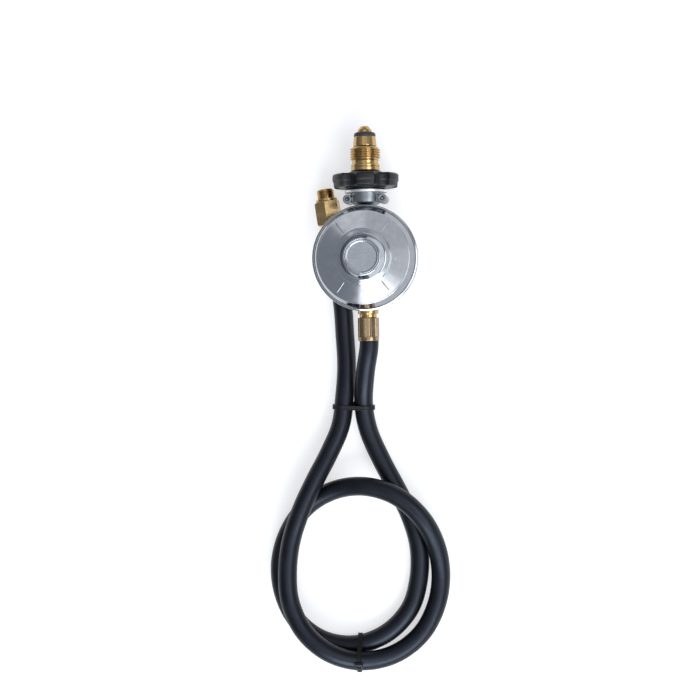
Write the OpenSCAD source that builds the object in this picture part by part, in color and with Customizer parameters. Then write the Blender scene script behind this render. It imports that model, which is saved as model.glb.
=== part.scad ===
// Low pressure propane regulator with a POL bottle fitting, a handwheel and
// one metre of rubber hose, wound in one loop and held by two cable ties.
// Millimetres. The regulator lies face up: +Z is up out of the cover, +Y points
// along the inlet, and the surface it lies on is z = 0.

/* [Regulator body] */
// Height of the inlet and outlet axis above the surface, which is the handwheel's radius
axis_z = 25; // [24:0.5:27]
// Radius of the rolled lip that joins cover and body
lip_r = 38.8; // [38:0.1:41]
// Height of the underside of the rolled lip
lip_z = 33.3; // [33.3:0.1:35]
// Radius of the body's flange inside the lip
flange_r = 37.2; // [36.6:0.1:37.4]
// Wall of the cast cover
cover_wall = 1.8; // [1.6:0.1:2.2]
// Radius of the inlet neck's front flange
neck_flange_r = 15.5; // [14:0.5:16]

/* [Cover] */
// Height of the drafted side wall above the lip
wall_rise = 10.4; // [9:0.2:12]
// Radius at the top of the drafted wall
dish_r = 33.9; // [33:0.1:35]
// Radius of the step ring round the tower
step_r = 20.6; // [19:0.2:22]
// Radius at the foot of the tower
tower_foot_r = 16.3; // [15.8:0.1:17]
// Radius of the tower's top edge
tower_top_r = 13.4; // [13.2:0.1:14]
// Radius of the cap in the tower's top
cap_r = 12.3; // [11.8:0.1:12.4]
// Width of the four thin ribs
rib_w = 1; // [0.6:0.1:1.6]
// Radius of the vent hole
vent_r = 1.3; // [0.8:0.1:1.5]

/* [Inlet] */
// Major radius of the left-hand POL thread
pol_thread_r = 11.24; // [11.2:0.01:11.3]
// Radius of the nipple's stem, on which the nut turns
stem_r = 5.9; // [5.5:0.1:6.2]
// Running clearance between the stem and the nut, in radius
nut_clearance = 0.08; // [0.02:0.01:0.1]
// Radius at the foot of the nipple's nose
nose_r = 8.6; // [8.4:0.1:9]
// Radius of the handwheel over its lobes
wheel_r = 25; // [24:0.5:25]
// Number of lobes
wheel_lobes = 6; // [5:1:8]
// Turn of the handwheel from a lobe pointing straight up
wheel_turn = 7; // [0:1:59]

/* [Hose] */
// Outer diameter of the hose
hose_od = 14; // [12:0.2:14]
// Bore of the hose
hose_bore = 8; // [7.6:0.2:8.4]
// Rings of the swept tube
hose_rings = 78; // [60:1:80]
// Sides of the swept tube
hose_sides = 12; // [8:1:12]
// Outer radius of the crimped ferrules
ferrule_r = 8.2; // [8:0.1:8.4]
// Length of the crimped ferrules
ferrule_len = 17; // [15:0.5:18]

/* [Far end] */
// Size across the flats of the swivel nut
nut_af = 17; // [16.8:0.1:19.2]
// Length of the swivel nut
nut_len = 18; // [16:0.5:18]
// Radius of the quarter inch BSP thread
bsp_r = 6.58; // [6.5:0.01:6.6]
// Length of the quarter inch BSP thread's full diameter
bsp_len = 6.6; // [6:0.1:8]

/* [Cable ties] */
// Width of the cable ties
tie_w = 3.2; // [2.5:0.1:3.6]
// Thickness of the cable ties
tie_t = 1.2; // [0.8:0.1:1.2]

/* [Hidden] */
$fn = 64;
eps = 0.01;
dish_y = -18.5;                       // centre of the dish, which puts the origin midway
hose_r = hose_od / 2;
bore_r = hose_bore / 2;

// Heights above the surface
floor_z = 14.3;                       // underside of the bowl
flange_z = lip_z + 1.1;               // underside of the body's flange
seat_z = flange_z + 2.4;              // top of the flange, where the diaphragm lies
diaphragm_t = 1.2;
cover_z = seat_z + 0.05 + diaphragm_t + 0.05;
dish_z = cover_z + 1.3 + wall_rise;   // top of the drafted wall
cone_z = dish_z + 1.5;                // foot of the step ring
step_z = cone_z + 1;                  // foot of the tower
tower_z = step_z + 4.3;               // top of the tower
plug_z = dish_z - 0.2;                // underside of the adjusting plug

// Distances along the axis from the dish's centre
neck_end = 50;                        // front of the body's neck
shank_y = 50.4;                       // back of the nut
wheel_back = 52;
wheel_front = 61.8;
collar_y = 64.1;
relief_y = 69.2;
thread_y = 72;
thread_end = 80.8;
nose_y = 82;
seal_y = 89.4;
tip_y = 92.8;
tip_end = 97;
outlet_face = -38;                    // face of the outlet boss
ferrule_y = -43.3;                    // closed end of the outlet ferrule

// Valve and lever
pivot_y = 13;
pivot_z = 19.8;
pad_face_y = 16.1;
nozzle_tip_y = 17;
stem_window_z = 23;
plate_z = cover_z + 0.1;

// Far end: the mouth of the far ferrule, and the lean of its axis to the left
far_mouth = [-26, -14, 11.2];
far_lean = 7.5;
far_dir = [-sin(far_lean), cos(far_lean), 0];
end_wall = 1;                         // closed end of each ferrule
nut_back = 21.9;                      // back of the swivel nut, from the ferrule's mouth
nut_front = nut_back + nut_len;

// Free route of the hose, chosen by hand
outlet_mouth_y = dish_y + ferrule_y - ferrule_len;
hose_free = [
  [-4, -103.5, 19], [-6.5, -125.5, 11.6], [-3.5, -146, 8.2], [5.5, -167.5, 7.2],
  [16, -188, 7.2], [26, -209, 7.2], [32, -231.5, 7.2], [31.5, -255, 7.2],
  [24.5, -277.5, 7.2], [7.5, -295.5, 7.2], [-16, -304.5, 7.6], [-40.5, -301.5, 7.2],
  [-60, -287.5, 7.2], [-70.5, -266.5, 7.2], [-72.5, -243, 7.2], [-65.5, -220, 7.2],
  [-51, -201, 7.8], [-29.5, -189, 12.7], [-5, -186, 19.5], [18.5, -193.5, 22],
  [36, -210, 19.8], [45.5, -231, 13.3], [48, -254, 8], [43.5, -277, 7.2],
  [31.5, -297.5, 7.4], [11.5, -311.5, 10.4], [-12.5, -315, 17.2], [-35, -308, 22],
  [-53, -292.5, 22.3], [-63, -271, 21.7], [-64.5, -247.5, 21.5], [-61, -224.5, 22],
  [-53, -202.5, 23.2], [-43, -181.5, 21], [-32.5, -161, 15], [-24, -141, 12],
  [-20.8, -119, 10.6], [-19.2, -97, 8.6], [-20, -75, 8.2], [-21, -52, 9.7]
];
hose_route = concat(
  [for (back = [ferrule_len - end_wall, 6, -5]) [0, outlet_mouth_y + back, axis_z]],
  hose_free,
  [for (along = [-hose_od, 0, ferrule_len - end_wall]) far_mouth + along * far_dir]
);
tie_upper_on = [4.11, 38.63];          // places on the route that the upper tie holds
tie_lower_on = [12.88, 29];
tie_inner_r = hose_r + 0.2;

// ---- Curves ----

// Point of a smooth curve through the route, at u from 0 to its last index
function route_at(p, u) =
  let (
    last = len(p) - 1,
    i = min(floor(u), last - 1),
    t = u - i,
    b = p[i],
    c = p[i + 1],
    a = i > 0 ? p[i - 1] : 2 * b - c,
    d = i + 2 <= last ? p[i + 2] : 2 * c - b
  )
  0.5 * (2 * b + t * (c - a) + t * t * (2 * a - 5 * b + 4 * c - d)
    + t * t * t * (3 * b - a - 3 * c + d));

function route_points(p, count) =
  [for (k = [0 : count - 1]) route_at(p, k * (len(p) - 1) / (count - 1))];

function unit(v) = v / norm(v);

function direction(p, i) = unit(p[min(i + 1, len(p) - 1)] - p[max(i - 1, 0)]);

// One ring of points square to the path, with its first point level with the centre
function ring(centre, dir, r, sides) =
  let (side = unit(cross(dir, [0, 0, 1])), up = cross(side, dir))
  [for (k = [0 : sides - 1]) centre + r * (cos(360 * k / sides) * side + sin(360 * k / sides) * up)];

// Two triangles for each side between ring a and ring b of a point list
function skin(a, b, sides) =
  [for (k = [0 : sides - 1], half = [0, 1])
    let (n = (k + 1) % sides)
    half == 0 ? [a + k, b + k, b + n] : [a + k, b + n, a + n]];

// Closed wall round a path: outer rings first, then inner rings
module bored_sweep(path, outer, inner, sides) {
  n = len(path);
  outside = [for (i = [0 : n - 1]) each ring(path[i], direction(path, i), outer, sides)];
  inside = [for (i = [0 : n - 1]) each ring(path[i], direction(path, i), inner, sides)];
  first = n * sides;
  faces = concat(
    [for (i = [0 : n - 2]) each skin((i + 1) * sides, i * sides, sides)],
    [for (i = [0 : n - 2]) each skin(first + i * sides, first + (i + 1) * sides, sides)],
    skin(0, first, sides),
    skin(first + (n - 1) * sides, (n - 1) * sides, sides)
  );
  polyhedron(concat(outside, inside), faces, convexity = 10);
}

// Solid round a path, such as a spring's wire
module solid_sweep(path, r, sides) {
  n = len(path);
  rings = [for (i = [0 : n - 1]) each ring(path[i], direction(path, i), r, sides)];
  faces = concat(
    [for (i = [0 : n - 2]) each skin((i + 1) * sides, i * sides, sides)],
    [[for (k = [0 : sides - 1]) k]],
    [[for (k = [sides - 1 : -1 : 0]) (n - 1) * sides + k]]
  );
  polyhedron(rings, faces, convexity = 10);
}

// ---- Placing ----

// Children stand on the dish's own axis
module at_dish() {
  translate([0, dish_y, 0]) children();
}

// Children lie along the inlet axis, their z measured towards +Y from the dish's centre
module along_axis() {
  translate([0, dish_y, axis_z]) rotate([-90, 0, 0]) children();
}

// Children lie along the far fitting, their z measured from the ferrule's mouth
module along_far() {
  translate(far_mouth) rotate([0, 0, far_lean]) rotate([-90, 0, 0]) children();
}

// Solid of revolution from [distance along the axis, radius] pairs
module turned(profile) {
  rotate_extrude($fn = 96) polygon(concat(
    [[0, profile[0][0]]],
    [for (p = profile) [p[1], p[0]]],
    [[0, profile[len(profile) - 1][0]]]
  ));
}

// Turned piece with a bore right through
module turned_tube(profile, bore) {
  rotate_extrude($fn = 96) polygon(concat(
    [[bore, profile[0][0]]],
    [for (p = profile) [p[1], p[0]]],
    [[bore, profile[len(profile) - 1][0]]]
  ));
}

module hexagon(af, length) {
  cylinder(h = length, r = af / sqrt(3), $fn = 6);
}

// ---- Inlet ----

module inlet_nipple() {
  color("darkgoldenrod") along_axis() difference() {
    turned([
      [40.5, 8.2], [49.6, 8.2], [49.6, stem_r], [nose_y, stem_r], [nose_y, nose_r - 0.5],
      [nose_y + 0.5, nose_r], [seal_y - 0.4, 8.1], [seal_y, 7.8], [seal_y, 6.1], [tip_y, 5.4],
      [tip_y, 5.3], [tip_y + 1.6, 5], [tip_y + 2.9, 4], [tip_end, 2.9]
    ]);
    translate([0, 0, 40]) cylinder(h = tip_end - 40 + 1, r = 2);
    translate([0, 0, 90]) cylinder(h = 8, r = 2.6);
  }
}

module inlet_filter() {
  color("silver") along_axis() translate([0, 0, 90.3]) difference() {
    cylinder(h = 5.5, r = 2.5);
    translate([0, 0, -1]) cylinder(h = 5.5, r = 1.9);
  }
}

module nose_seal() {
  color("dimgray") along_axis() rotate_extrude() polygon([
    [6.15, seal_y + 0.05], [7.9, seal_y + 0.05], [8.05, seal_y + 0.8], [7.7, seal_y + 2.4],
    [6.6, tip_y - 0.25], [5.5, tip_y - 0.05]
  ]);
}

module pol_nut() {
  color("goldenrod") along_axis() turned_tube([
    [shank_y, 9.4], [collar_y, 9.4], [collar_y, 10.2], [collar_y + 0.4, 10.6],
    [relief_y - 0.4, 10.6], [relief_y, 10.2], [relief_y, 9.7], [thread_y - 0.7, 9.7],
    [thread_y, pol_thread_r], [thread_end, pol_thread_r], [thread_end + 0.8, 10.3]
  ], stem_r + nut_clearance);
}

// Lobed outline of the handwheel, with a scoop between each two lobes
module wheel_outline(r) {
  difference() {
    circle(r, $fn = 120);
    for (i = [0 : wheel_lobes - 1])
      rotate((i + 0.5) * 360 / wheel_lobes) translate([0, wheel_r + 2, 0]) circle(7 + wheel_r - r);
  }
}

module handwheel() {
  color("#202022") along_axis() rotate(180 + wheel_turn) difference() {
    union() {
      translate([0, 0, wheel_back + 1.4])
        linear_extrude(wheel_front - wheel_back - 2.4) wheel_outline(wheel_r);
      translate([0, 0, wheel_back]) linear_extrude(1.5) wheel_outline(wheel_r - 1.2);
      translate([0, 0, wheel_front - 1.1]) linear_extrude(1.1) wheel_outline(wheel_r - 0.9);
      turned([[shank_y + 0.4, 14.5], [wheel_back + eps, 14.5]]);
      turned([[wheel_front - eps, 14], [wheel_front + 0.8, 13.2], [collar_y - 0.2, 11.4]]);
    }
    cylinder(h = 100, r = 9.42);
  }
}

// ---- Body and cover ----

// Outline of the bowl, as [radius, height]
bowl_outer = [
  [0, floor_z], [16, floor_z], [19, 16.5], [23, 20.5], [31, 25.5], [33, 30], [34, flange_z],
  [flange_r, flange_z], [flange_r, seat_z]
];
bowl_inner = [[32, seat_z], [31, 30.5], [29, 27], [21.5, 23.2], [17.5, 19.5], [14, 17.5], [0, 17.5]];

module bowl_inside() {
  rotate_extrude($fn = 96) polygon(concat(bowl_inner, [[0, seat_z + 1], [32, seat_z + 1]]));
}

module body_casting() {
  flange_t = 1.9;
  lug_x = 12.8;
  lug_y = 43.4;
  lug_r = 3.4;
  color("lightgray") difference() {
    union() {
      at_dish() rotate_extrude($fn = 96) polygon(concat(bowl_outer, bowl_inner));
      along_axis() {
        translate([0, 0, 20.5]) cylinder(h = 22, r = 7.9);
        turned([[39.7, 7.9], [39.7, 9.5], [41, 11], [neck_end - flange_t, 11],
          [neck_end - flange_t, neck_flange_r - 0.3], [neck_end - flange_t + 0.3, neck_flange_r],
          [neck_end - 0.3, neck_flange_r], [neck_end, neck_flange_r - 0.3]]);
        translate([0, 0, outlet_face]) cylinder(h = 18, r = 7.8);
      }
      at_dish() for (side = [-1, 1]) translate([side * lug_x, lug_y, 0]) {
        translate([0, 0, 17]) cylinder(h = 16.5, r = lug_r);
        translate([side > 0 ? -6 : 0, -2.5, 18.5]) cube([6, 5, 13]);
      }
    }
    at_dish() difference() {
      bowl_inside();
      translate([0, 0, axis_z]) rotate([-90, 0, 0]) cylinder(h = 40, r = 7.9);
    }
    along_axis() {
      translate([0, 0, 10]) cylinder(h = 50, r = 2.5);
      translate([0, 0, 10]) cylinder(h = 26, r = 5);
      translate([0, 0, 40.3]) cylinder(h = 20, r = 8.25);
      translate([0, 0, outlet_face - 1]) cylinder(h = 9.4, r = 5.45);
      translate([0, 0, outlet_face - 1]) cylinder(h = 30, r = 3.5);
    }
    at_dish() for (side = [-1, 1])
      translate([side * lug_x, lug_y, 31]) cylinder(h = 5, r = 1.4);
  }
  color("lightgray") at_dish() lever_ears();
}

// Two ears on the bowl's floor that hold the lever's pin
module lever_ears() {
  for (side = [-1, 1]) difference() {
    translate([side * 5.6 - 1.25, pivot_y - 2.4, 16]) cube([2.5, 4.8, 6.4]);
    translate([side * 5.6 - 2, pivot_y, pivot_z]) rotate([0, 90, 0]) cylinder(h = 4, r = 1);
  }
}

module cover() {
  lip_top = cover_z + 0.2;
  outside = [
    [36, lip_z], [lip_r - 0.5, lip_z], [lip_r, lip_z + 0.5], [lip_r, lip_top],
    [lip_r - 0.5, lip_top + 0.7], [lip_r - 1.5, lip_top + 1], [dish_r + 0.5, dish_z - 1],
    [dish_r, dish_z - 0.3], [dish_r - 1.2, dish_z], [step_r + 0.1, cone_z],
    [step_r - 0.3, cone_z + 0.45], [tower_foot_r + 0.2, step_z], [tower_foot_r, step_z + 0.4],
    [tower_top_r + 0.2, tower_z - 0.4], [tower_top_r, tower_z], [cap_r + 0.05, tower_z]
  ];
  inside = [
    [cap_r + 0.05, tower_z - 2.6], [11.15, tower_z - 2.6], [11.15, plug_z - 0.5],
    [13.6, plug_z - 0.5], [13.6, cone_z - cover_wall], [dish_r - 3, dish_z - cover_wall],
    [dish_r - 1.4, dish_z - 2.6], [lip_r - 3.6, lip_top + 0.9], [lip_r - 4.4, cover_z],
    [flange_r + 0.05, cover_z], [flange_r + 0.05, flange_z - 0.05], [36, flange_z - 0.05]
  ];
  color("silver") at_dish() difference() {
    union() {
      rotate_extrude($fn = 96) polygon(concat(outside, inside));
      for (a = [52.5, 127.5, 232.5, 307.5]) rotate(a) cover_rib();
    }
    rotate(-6) translate([23.5, 0, dish_z - 4]) cylinder(h = 10, r = vent_r);
  }
}

// Thin rib that lies on the cone of the cover
module cover_rib() {
  start = step_r + 1;
  end = dish_r - 1.8;
  rise = 1.5 / (dish_r - 1.2 - step_r);
  rotate([90, 0, 0]) translate([0, 0, -rib_w / 2]) linear_extrude(rib_w) polygon([
    [start, cone_z - 0.5], [end, dish_z - 0.5],
    [end, dish_z + 0.45 + rise], [start, cone_z + 0.55]
  ]);
}

module tower_cap() {
  color("gainsboro") at_dish() turned([
    [tower_z - 2.5, cap_r], [tower_z - 0.5, cap_r], [tower_z - 0.2, cap_r - 0.3],
    [tower_z - 0.2, cap_r - 1], [tower_z - 0.6, cap_r - 1.3]
  ]);
}

module vent_screen() {
  color("darkgray") at_dish() rotate(-6) translate([23.5, 0, dish_z - 1.9])
    cylinder(h = 0.5, r = 2.4);
}

// ---- Inside the regulator ----

module adjusting_plug() {
  color("darkgray") at_dish() difference() {
    translate([0, 0, plug_z]) cylinder(h = 4, r = 11.1);
    translate([0, 0, plug_z + 1.5]) hexagon(8, 5);
  }
}

module main_spring() {
  wire_r = 0.9;
  coil_r = 9.2;
  turns = 5;
  steps = 16;
  low = plate_z + 1.3 + wire_r + 0.05;
  rise = plug_z - wire_r - 0.05 - low;
  helix = [for (k = [0 : turns * steps])
    [coil_r * cos(360 * k / steps), coil_r * sin(360 * k / steps), low + rise * k / (turns * steps)]];
  color("slategray") at_dish() solid_sweep(helix, wire_r, 6);
}

module diaphragm() {
  bottom = seat_z + 0.05;
  top = bottom + diaphragm_t;
  color("#303030") at_dish() rotate_extrude($fn = 96) polygon([
    [2.5, bottom], [18, bottom], [20, bottom - 1.6], [23.5, bottom - 2.6], [27, bottom - 1.6],
    [29, bottom], [37, bottom], [37, top], [28.4, top], [26.4, top - 1.5], [23.5, top - 2.4],
    [20.6, top - 1.5], [18.6, top], [2.5, top]
  ]);
}

module diaphragm_plate() {
  color("silver") at_dish() translate([0, 0, plate_z]) difference() {
    cylinder(h = 1.3, r = 16);
    translate([0, 0, -1]) cylinder(h = 4, r = 2.2);
  }
}

module diaphragm_stem() {
  block_bottom = 20.4;
  block_top = 26.2;
  window_h = 2.6;
  color("goldenrod") at_dish() difference() {
    union() {
      translate([0, 0, block_top - 1]) cylinder(h = plate_z + 5.4 - block_top, r = 2.15);
      translate([0, 0, seat_z - 1.5]) cylinder(h = 1.4, r = 12);
      translate([0, 0, plate_z + 1.35]) hexagon(8, 2.6);
      translate([-3.4, -2, block_bottom]) cube([6.8, 4, block_top - block_bottom]);
    }
    translate([-1.7, -3, stem_window_z - window_h / 2]) cube([3.4, 6, window_h]);
  }
}

module lever() {
  arm_w = 2.6;
  seat_w = 6;
  color("steelblue") at_dish() difference() {
    union() {
      translate([-3.6, pivot_y, pivot_z]) rotate([0, 90, 0]) cylinder(h = 7.2, r = 1.9);
      translate([-seat_w / 2, pivot_y + 0.2, pivot_z]) cube([seat_w, 1.2, 8]);
      translate([-arm_w / 2, 0, stem_window_z]) rotate([0, 90, 0]) cylinder(h = arm_w, r = 0.8);
      translate([-arm_w / 2, 0, 0]) rotate([90, 0, 90]) linear_extrude(arm_w) polygon([
        [0, stem_window_z - 0.5], [pivot_y, pivot_z - 0.3], [pivot_y, pivot_z + 1.2],
        [0, stem_window_z + 0.5]
      ]);
    }
    translate([-4, pivot_y, pivot_z]) rotate([0, 90, 0]) cylinder(h = 8, r = 1.05);
  }
}

module lever_pin() {
  color("silver") at_dish() translate([-6.9, pivot_y, pivot_z]) rotate([0, 90, 0])
    cylinder(h = 13.8, r = 0.99);
}

module valve_pad() {
  color("#282828") along_axis() translate([0, 0, pivot_y + 1.45])
    cylinder(h = pad_face_y - pivot_y - 1.45, r = 2.6);
}

module nozzle() {
  color("darkgoldenrod") along_axis() turned_tube([
    [nozzle_tip_y, 1.9], [nozzle_tip_y + 1, 3.4], [nozzle_tip_y + 4, 3.4], [nozzle_tip_y + 4, 4.95],
    [35.9, 4.95]
  ], 1.2);
}

// ---- Outlet and hose ----

module outlet_tail() {
  color("goldenrod") along_axis() mirror([0, 0, 1]) turned_tube([
    [30.5, 5.4], [38.05, 5.4], [38.05, 7.6], [40.4, 7.6], [40.9, 6.3], [43.2, 6.3], [43.2, 4.9],
    [44.4, 4.9], [44.4, 3.9], [47, 3.9], [49, 3.6], [49.1, 3.95], [52, 3.6], [52.1, 3.95],
    [56, 3.5]
  ], 2.6);
}

// Crimped sleeve from its open mouth at z = 0, pressed flat in ten places,
// with a plain collar left at the mouth
module ferrule() {
  flats = 10;
  flats_turn = -5;
  pressed_r = ferrule_r - 0.45;
  end_r = pressed_r - 0.05;
  collar = 2.4;
  difference() {
    union() {
      translate([0, 0, collar - eps]) rotate(flats_turn)
        cylinder(h = ferrule_len - collar - 1, r = pressed_r / cos(180 / flats), $fn = flats);
      turned([[0, ferrule_r - 0.4], [0.4, ferrule_r], [collar, ferrule_r]]);
      turned([[ferrule_len - 1.1, end_r], [ferrule_len - 0.5, end_r], [ferrule_len, end_r - 0.8]]);
    }
    translate([0, 0, -1]) cylinder(h = ferrule_len - end_wall + 1, r = hose_r + 0.05);
    cylinder(h = ferrule_len + 1, r = 4.95);
  }
}

module outlet_ferrule() {
  color("goldenrod") along_axis() translate([0, 0, ferrule_y - ferrule_len]) ferrule();
}

module hose() {
  color("#1c1c1e")
    bored_sweep(route_points(hose_route, hose_rings), hose_r, bore_r, hose_sides);
}

module far_ferrule() {
  color("goldenrod") along_far() ferrule();
}

module far_tail() {
  mouth = ferrule_len;
  color("darkgoldenrod") along_far() turned_tube([
    [3, 3.5], [7, 3.95], [7.1, 3.6], [10, 3.95], [10.1, 3.6], [12, 3.9], [mouth - 1.05, 3.9],
    [mouth - 1.05, 4.9], [mouth + 0.05, 4.9], [mouth + 0.05, 6.2], [mouth + 2.2, 6.2],
    [mouth + 2.6, 5], [nut_back + 2.6, 5], [nut_back + 4.6, 7], [nut_back + 5.2, 7],
    [nut_back + 8.4, 3.8]
  ], 2.6);
}

module swivel_nut() {
  thread_r = 7.4;
  face_r = nut_af * 0.48;
  corner_r = nut_af / sqrt(3) + 0.3;
  color("gold") along_far() difference() {
    intersection() {
      translate([0, 0, nut_back]) rotate(26) hexagon(nut_af, nut_len);
      turned([[nut_back - eps, face_r], [nut_back + 1.3, corner_r], [nut_front - 1.3, corner_r],
        [nut_front + eps, face_r]]);
    }
    turned([[nut_back - 1, 5.08], [nut_back + 2.55, 5.08], [nut_back + 4.87, thread_r],
      [nut_front + 1, thread_r]]);
  }
}

module adaptor() {
  seat = nut_back + 8.8;
  face = nut_front + 0.15;
  color("goldenrod") along_far() difference() {
    union() {
      turned([[seat, 6.4], [seat + 0.8, 7.2], [face, 7.2]]);
      translate([0, 0, face - eps]) hexagon(14, 1.6);
      turned([[face + 1.5, bsp_r], [face + 1.5 + bsp_len, bsp_r], [face + 2.3 + bsp_len, bsp_r - 0.8]]);
    }
    cylinder(h = 100, r = 2.8);
  }
}

// Cable tie round the strands at places on[0] and on[1] of the route, drawn with x from
// strand to strand and y up, and its locking head beside head_x, turned by head_turn
module cable_tie(on, head_x, head_turn, head_t) {
  a = route_at(hose_route, on[0]);
  b = route_at(hose_route, on[1]);
  first = route_at(hose_route, on[0] + 0.1) - a;
  second = route_at(hose_route, on[1] + 0.1) - b;
  strand = unit(unit(first) + sign(first * second) * unit(second));
  across = unit(b - a);
  square_up = unit(cross(strand, across));
  up = square_up[2] < 0 ? -square_up : square_up;
  side = cross(across, up);
  middle = (a + b) / 2;
  half = norm(b - a) / 2;
  multmatrix([
    [across[0], up[0], side[0], middle[0]],
    [across[1], up[1], side[1], middle[1]],
    [across[2], up[2], side[2], middle[2]]
  ]) {
    tie_band(half);
    translate([head_x * half, 0, 0]) rotate(head_turn) translate([0, tie_inner_r + tie_t - 0.2, 0])
      tie_head(head_t);
  }
}

// Band with round ends, half being half the distance between the strands
module tie_band(half) {
  outer_r = tie_inner_r + tie_t;
  linear_extrude(tie_w, center = true) difference() {
    union() {
      for (end = [-1, 1]) translate([end * half, 0]) circle(outer_r);
      square([2 * half, 2 * outer_r], center = true);
    }
    for (end = [-1, 1]) translate([end * half, 0]) circle(tie_inner_r);
    square([2 * half, 2 * tie_inner_r], center = true);
  }
}

// Locking head with the slot that the tail comes out of
module tie_head(thickness) {
  difference() {
    translate([-2.4, 0, -2.9]) cube([4.8, thickness, 5.8]);
    translate([-0.7, 1.3, -1.7]) cube([1.4, thickness, 3.4]);
  }
}

module tie_upper() {
  color("#151515") cable_tie(tie_upper_on, 0, 180, 2.7);
}

module tie_lower() {
  color("#151515") cable_tie(tie_lower_on, 1, -30, 4);
}

// ---- Measures of the hose, printed when the file is run ----

function total(v, i = 0) = i < len(v) ? v[i] + total(v, i + 1) : 0;

fine = 360;
fine_path = route_points(hose_route, fine);
hose_steps = [for (i = [1 : fine - 1]) norm(fine_path[i] - fine_path[i - 1])];
self_gaps = [for (i = [0 : 2 : fine - 21], j = [i + 20 : fine - 1])
  norm(fine_path[i] - fine_path[j]) - hose_od];
lowest = min([for (p = fine_path) p[2]]) - hose_r;
echo(hose_length_mm = total(hose_steps), least_gap_to_itself_mm = min(self_gaps), lowest_mm = lowest);

inlet_nipple();
inlet_filter();
nose_seal();
pol_nut();
handwheel();
body_casting();
cover();
tower_cap();
vent_screen();
adjusting_plug();
main_spring();
diaphragm();
diaphragm_plate();
diaphragm_stem();
lever();
lever_pin();
valve_pad();
nozzle();
outlet_tail();
outlet_ferrule();
hose();
far_ferrule();
far_tail();
swivel_nut();
adaptor();
tie_upper();
tie_lower();
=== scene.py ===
"""Looks of a low pressure propane regulator on one metre of looped rubber hose.

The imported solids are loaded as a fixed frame. Each sub-assembly is a class that holds its
sizes in millimetres and builds its pieces round the frame. Stations are distances along an
axis: on the inlet and outlet they count from the middle of the dish, and on the far fitting
from the mouth of its ferrule.
"""

from __future__ import annotations

import logging
import math
from dataclasses import dataclass, field
from enum import Enum
from typing import Callable, Iterable, Sequence

import bmesh
import bpy
from mathutils import Matrix, Vector

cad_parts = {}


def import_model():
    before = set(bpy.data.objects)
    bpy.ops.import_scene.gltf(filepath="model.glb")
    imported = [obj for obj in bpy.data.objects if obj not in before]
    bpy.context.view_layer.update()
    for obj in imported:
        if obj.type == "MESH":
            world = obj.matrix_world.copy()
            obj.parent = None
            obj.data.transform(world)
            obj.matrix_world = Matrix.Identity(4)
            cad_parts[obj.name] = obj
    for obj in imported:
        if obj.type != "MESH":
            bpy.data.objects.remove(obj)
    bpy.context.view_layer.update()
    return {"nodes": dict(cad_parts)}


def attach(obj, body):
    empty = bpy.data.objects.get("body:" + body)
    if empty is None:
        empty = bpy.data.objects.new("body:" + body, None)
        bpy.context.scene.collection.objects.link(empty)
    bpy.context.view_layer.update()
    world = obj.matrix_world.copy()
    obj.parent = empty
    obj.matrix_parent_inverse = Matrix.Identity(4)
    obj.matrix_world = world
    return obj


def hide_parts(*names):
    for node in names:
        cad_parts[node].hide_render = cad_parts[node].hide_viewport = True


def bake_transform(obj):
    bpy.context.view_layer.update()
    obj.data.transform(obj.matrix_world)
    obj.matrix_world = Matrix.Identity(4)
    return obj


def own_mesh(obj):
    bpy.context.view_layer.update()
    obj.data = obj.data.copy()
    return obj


LOG = logging.getLogger("regulator")

Colour = tuple[float, float, float]
Span = tuple[float, float]
Outline = Sequence[tuple[float, float]]
Swell = Callable[[float, float, float], float]

WHITE: Colour = (1.0, 1.0, 1.0)
# Metres in a millimetre
MM = 0.001
# A radius under this lies on the axis, in millimetres
ON_AXIS = 1e-6
# Corners that turn by less than this aren't rounded, in degrees
NEARLY_STRAIGHT = 8.0
# The part of its range that most of a noise lies in
NOISE_MIDDLE: Span = (0.3, 0.7)
# Length of one band of the wave texture at a scale of 1
WAVE_BAND = 0.314


class Body(Enum):
    """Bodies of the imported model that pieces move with."""

    REGULATOR = "regulator"
    HAND_NUT = "hand_nut"
    SWIVEL = "swivel"
    STACK = "diaphragm_stack"


class Hand(Enum):
    """Which way a thread winds, with the side of its spiral that faces outwards."""

    LEFT = -1
    RIGHT = 1


# ---- Scene ----


def placed(name: str, data: bpy.types.ID) -> bpy.types.Object:
    """Adds an object with its data to the scene.

    Args:
        name: the object's name.
        data: its mesh, light or camera.

    Returns:
        The new object.
    """
    made = bpy.data.objects.new(name, data)
    bpy.context.scene.collection.objects.link(made)
    return made


def kept(form: bmesh.types.BMesh, name: str) -> bpy.types.Mesh:
    """Gives a working mesh as a plain one.

    Args:
        form: the working mesh, which is freed.
        name: the plain mesh's name.

    Returns:
        The plain mesh.
    """
    mesh = bpy.data.meshes.new(name)
    form.to_mesh(mesh)
    form.free()
    return mesh


# ---- Node trees ----


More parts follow.
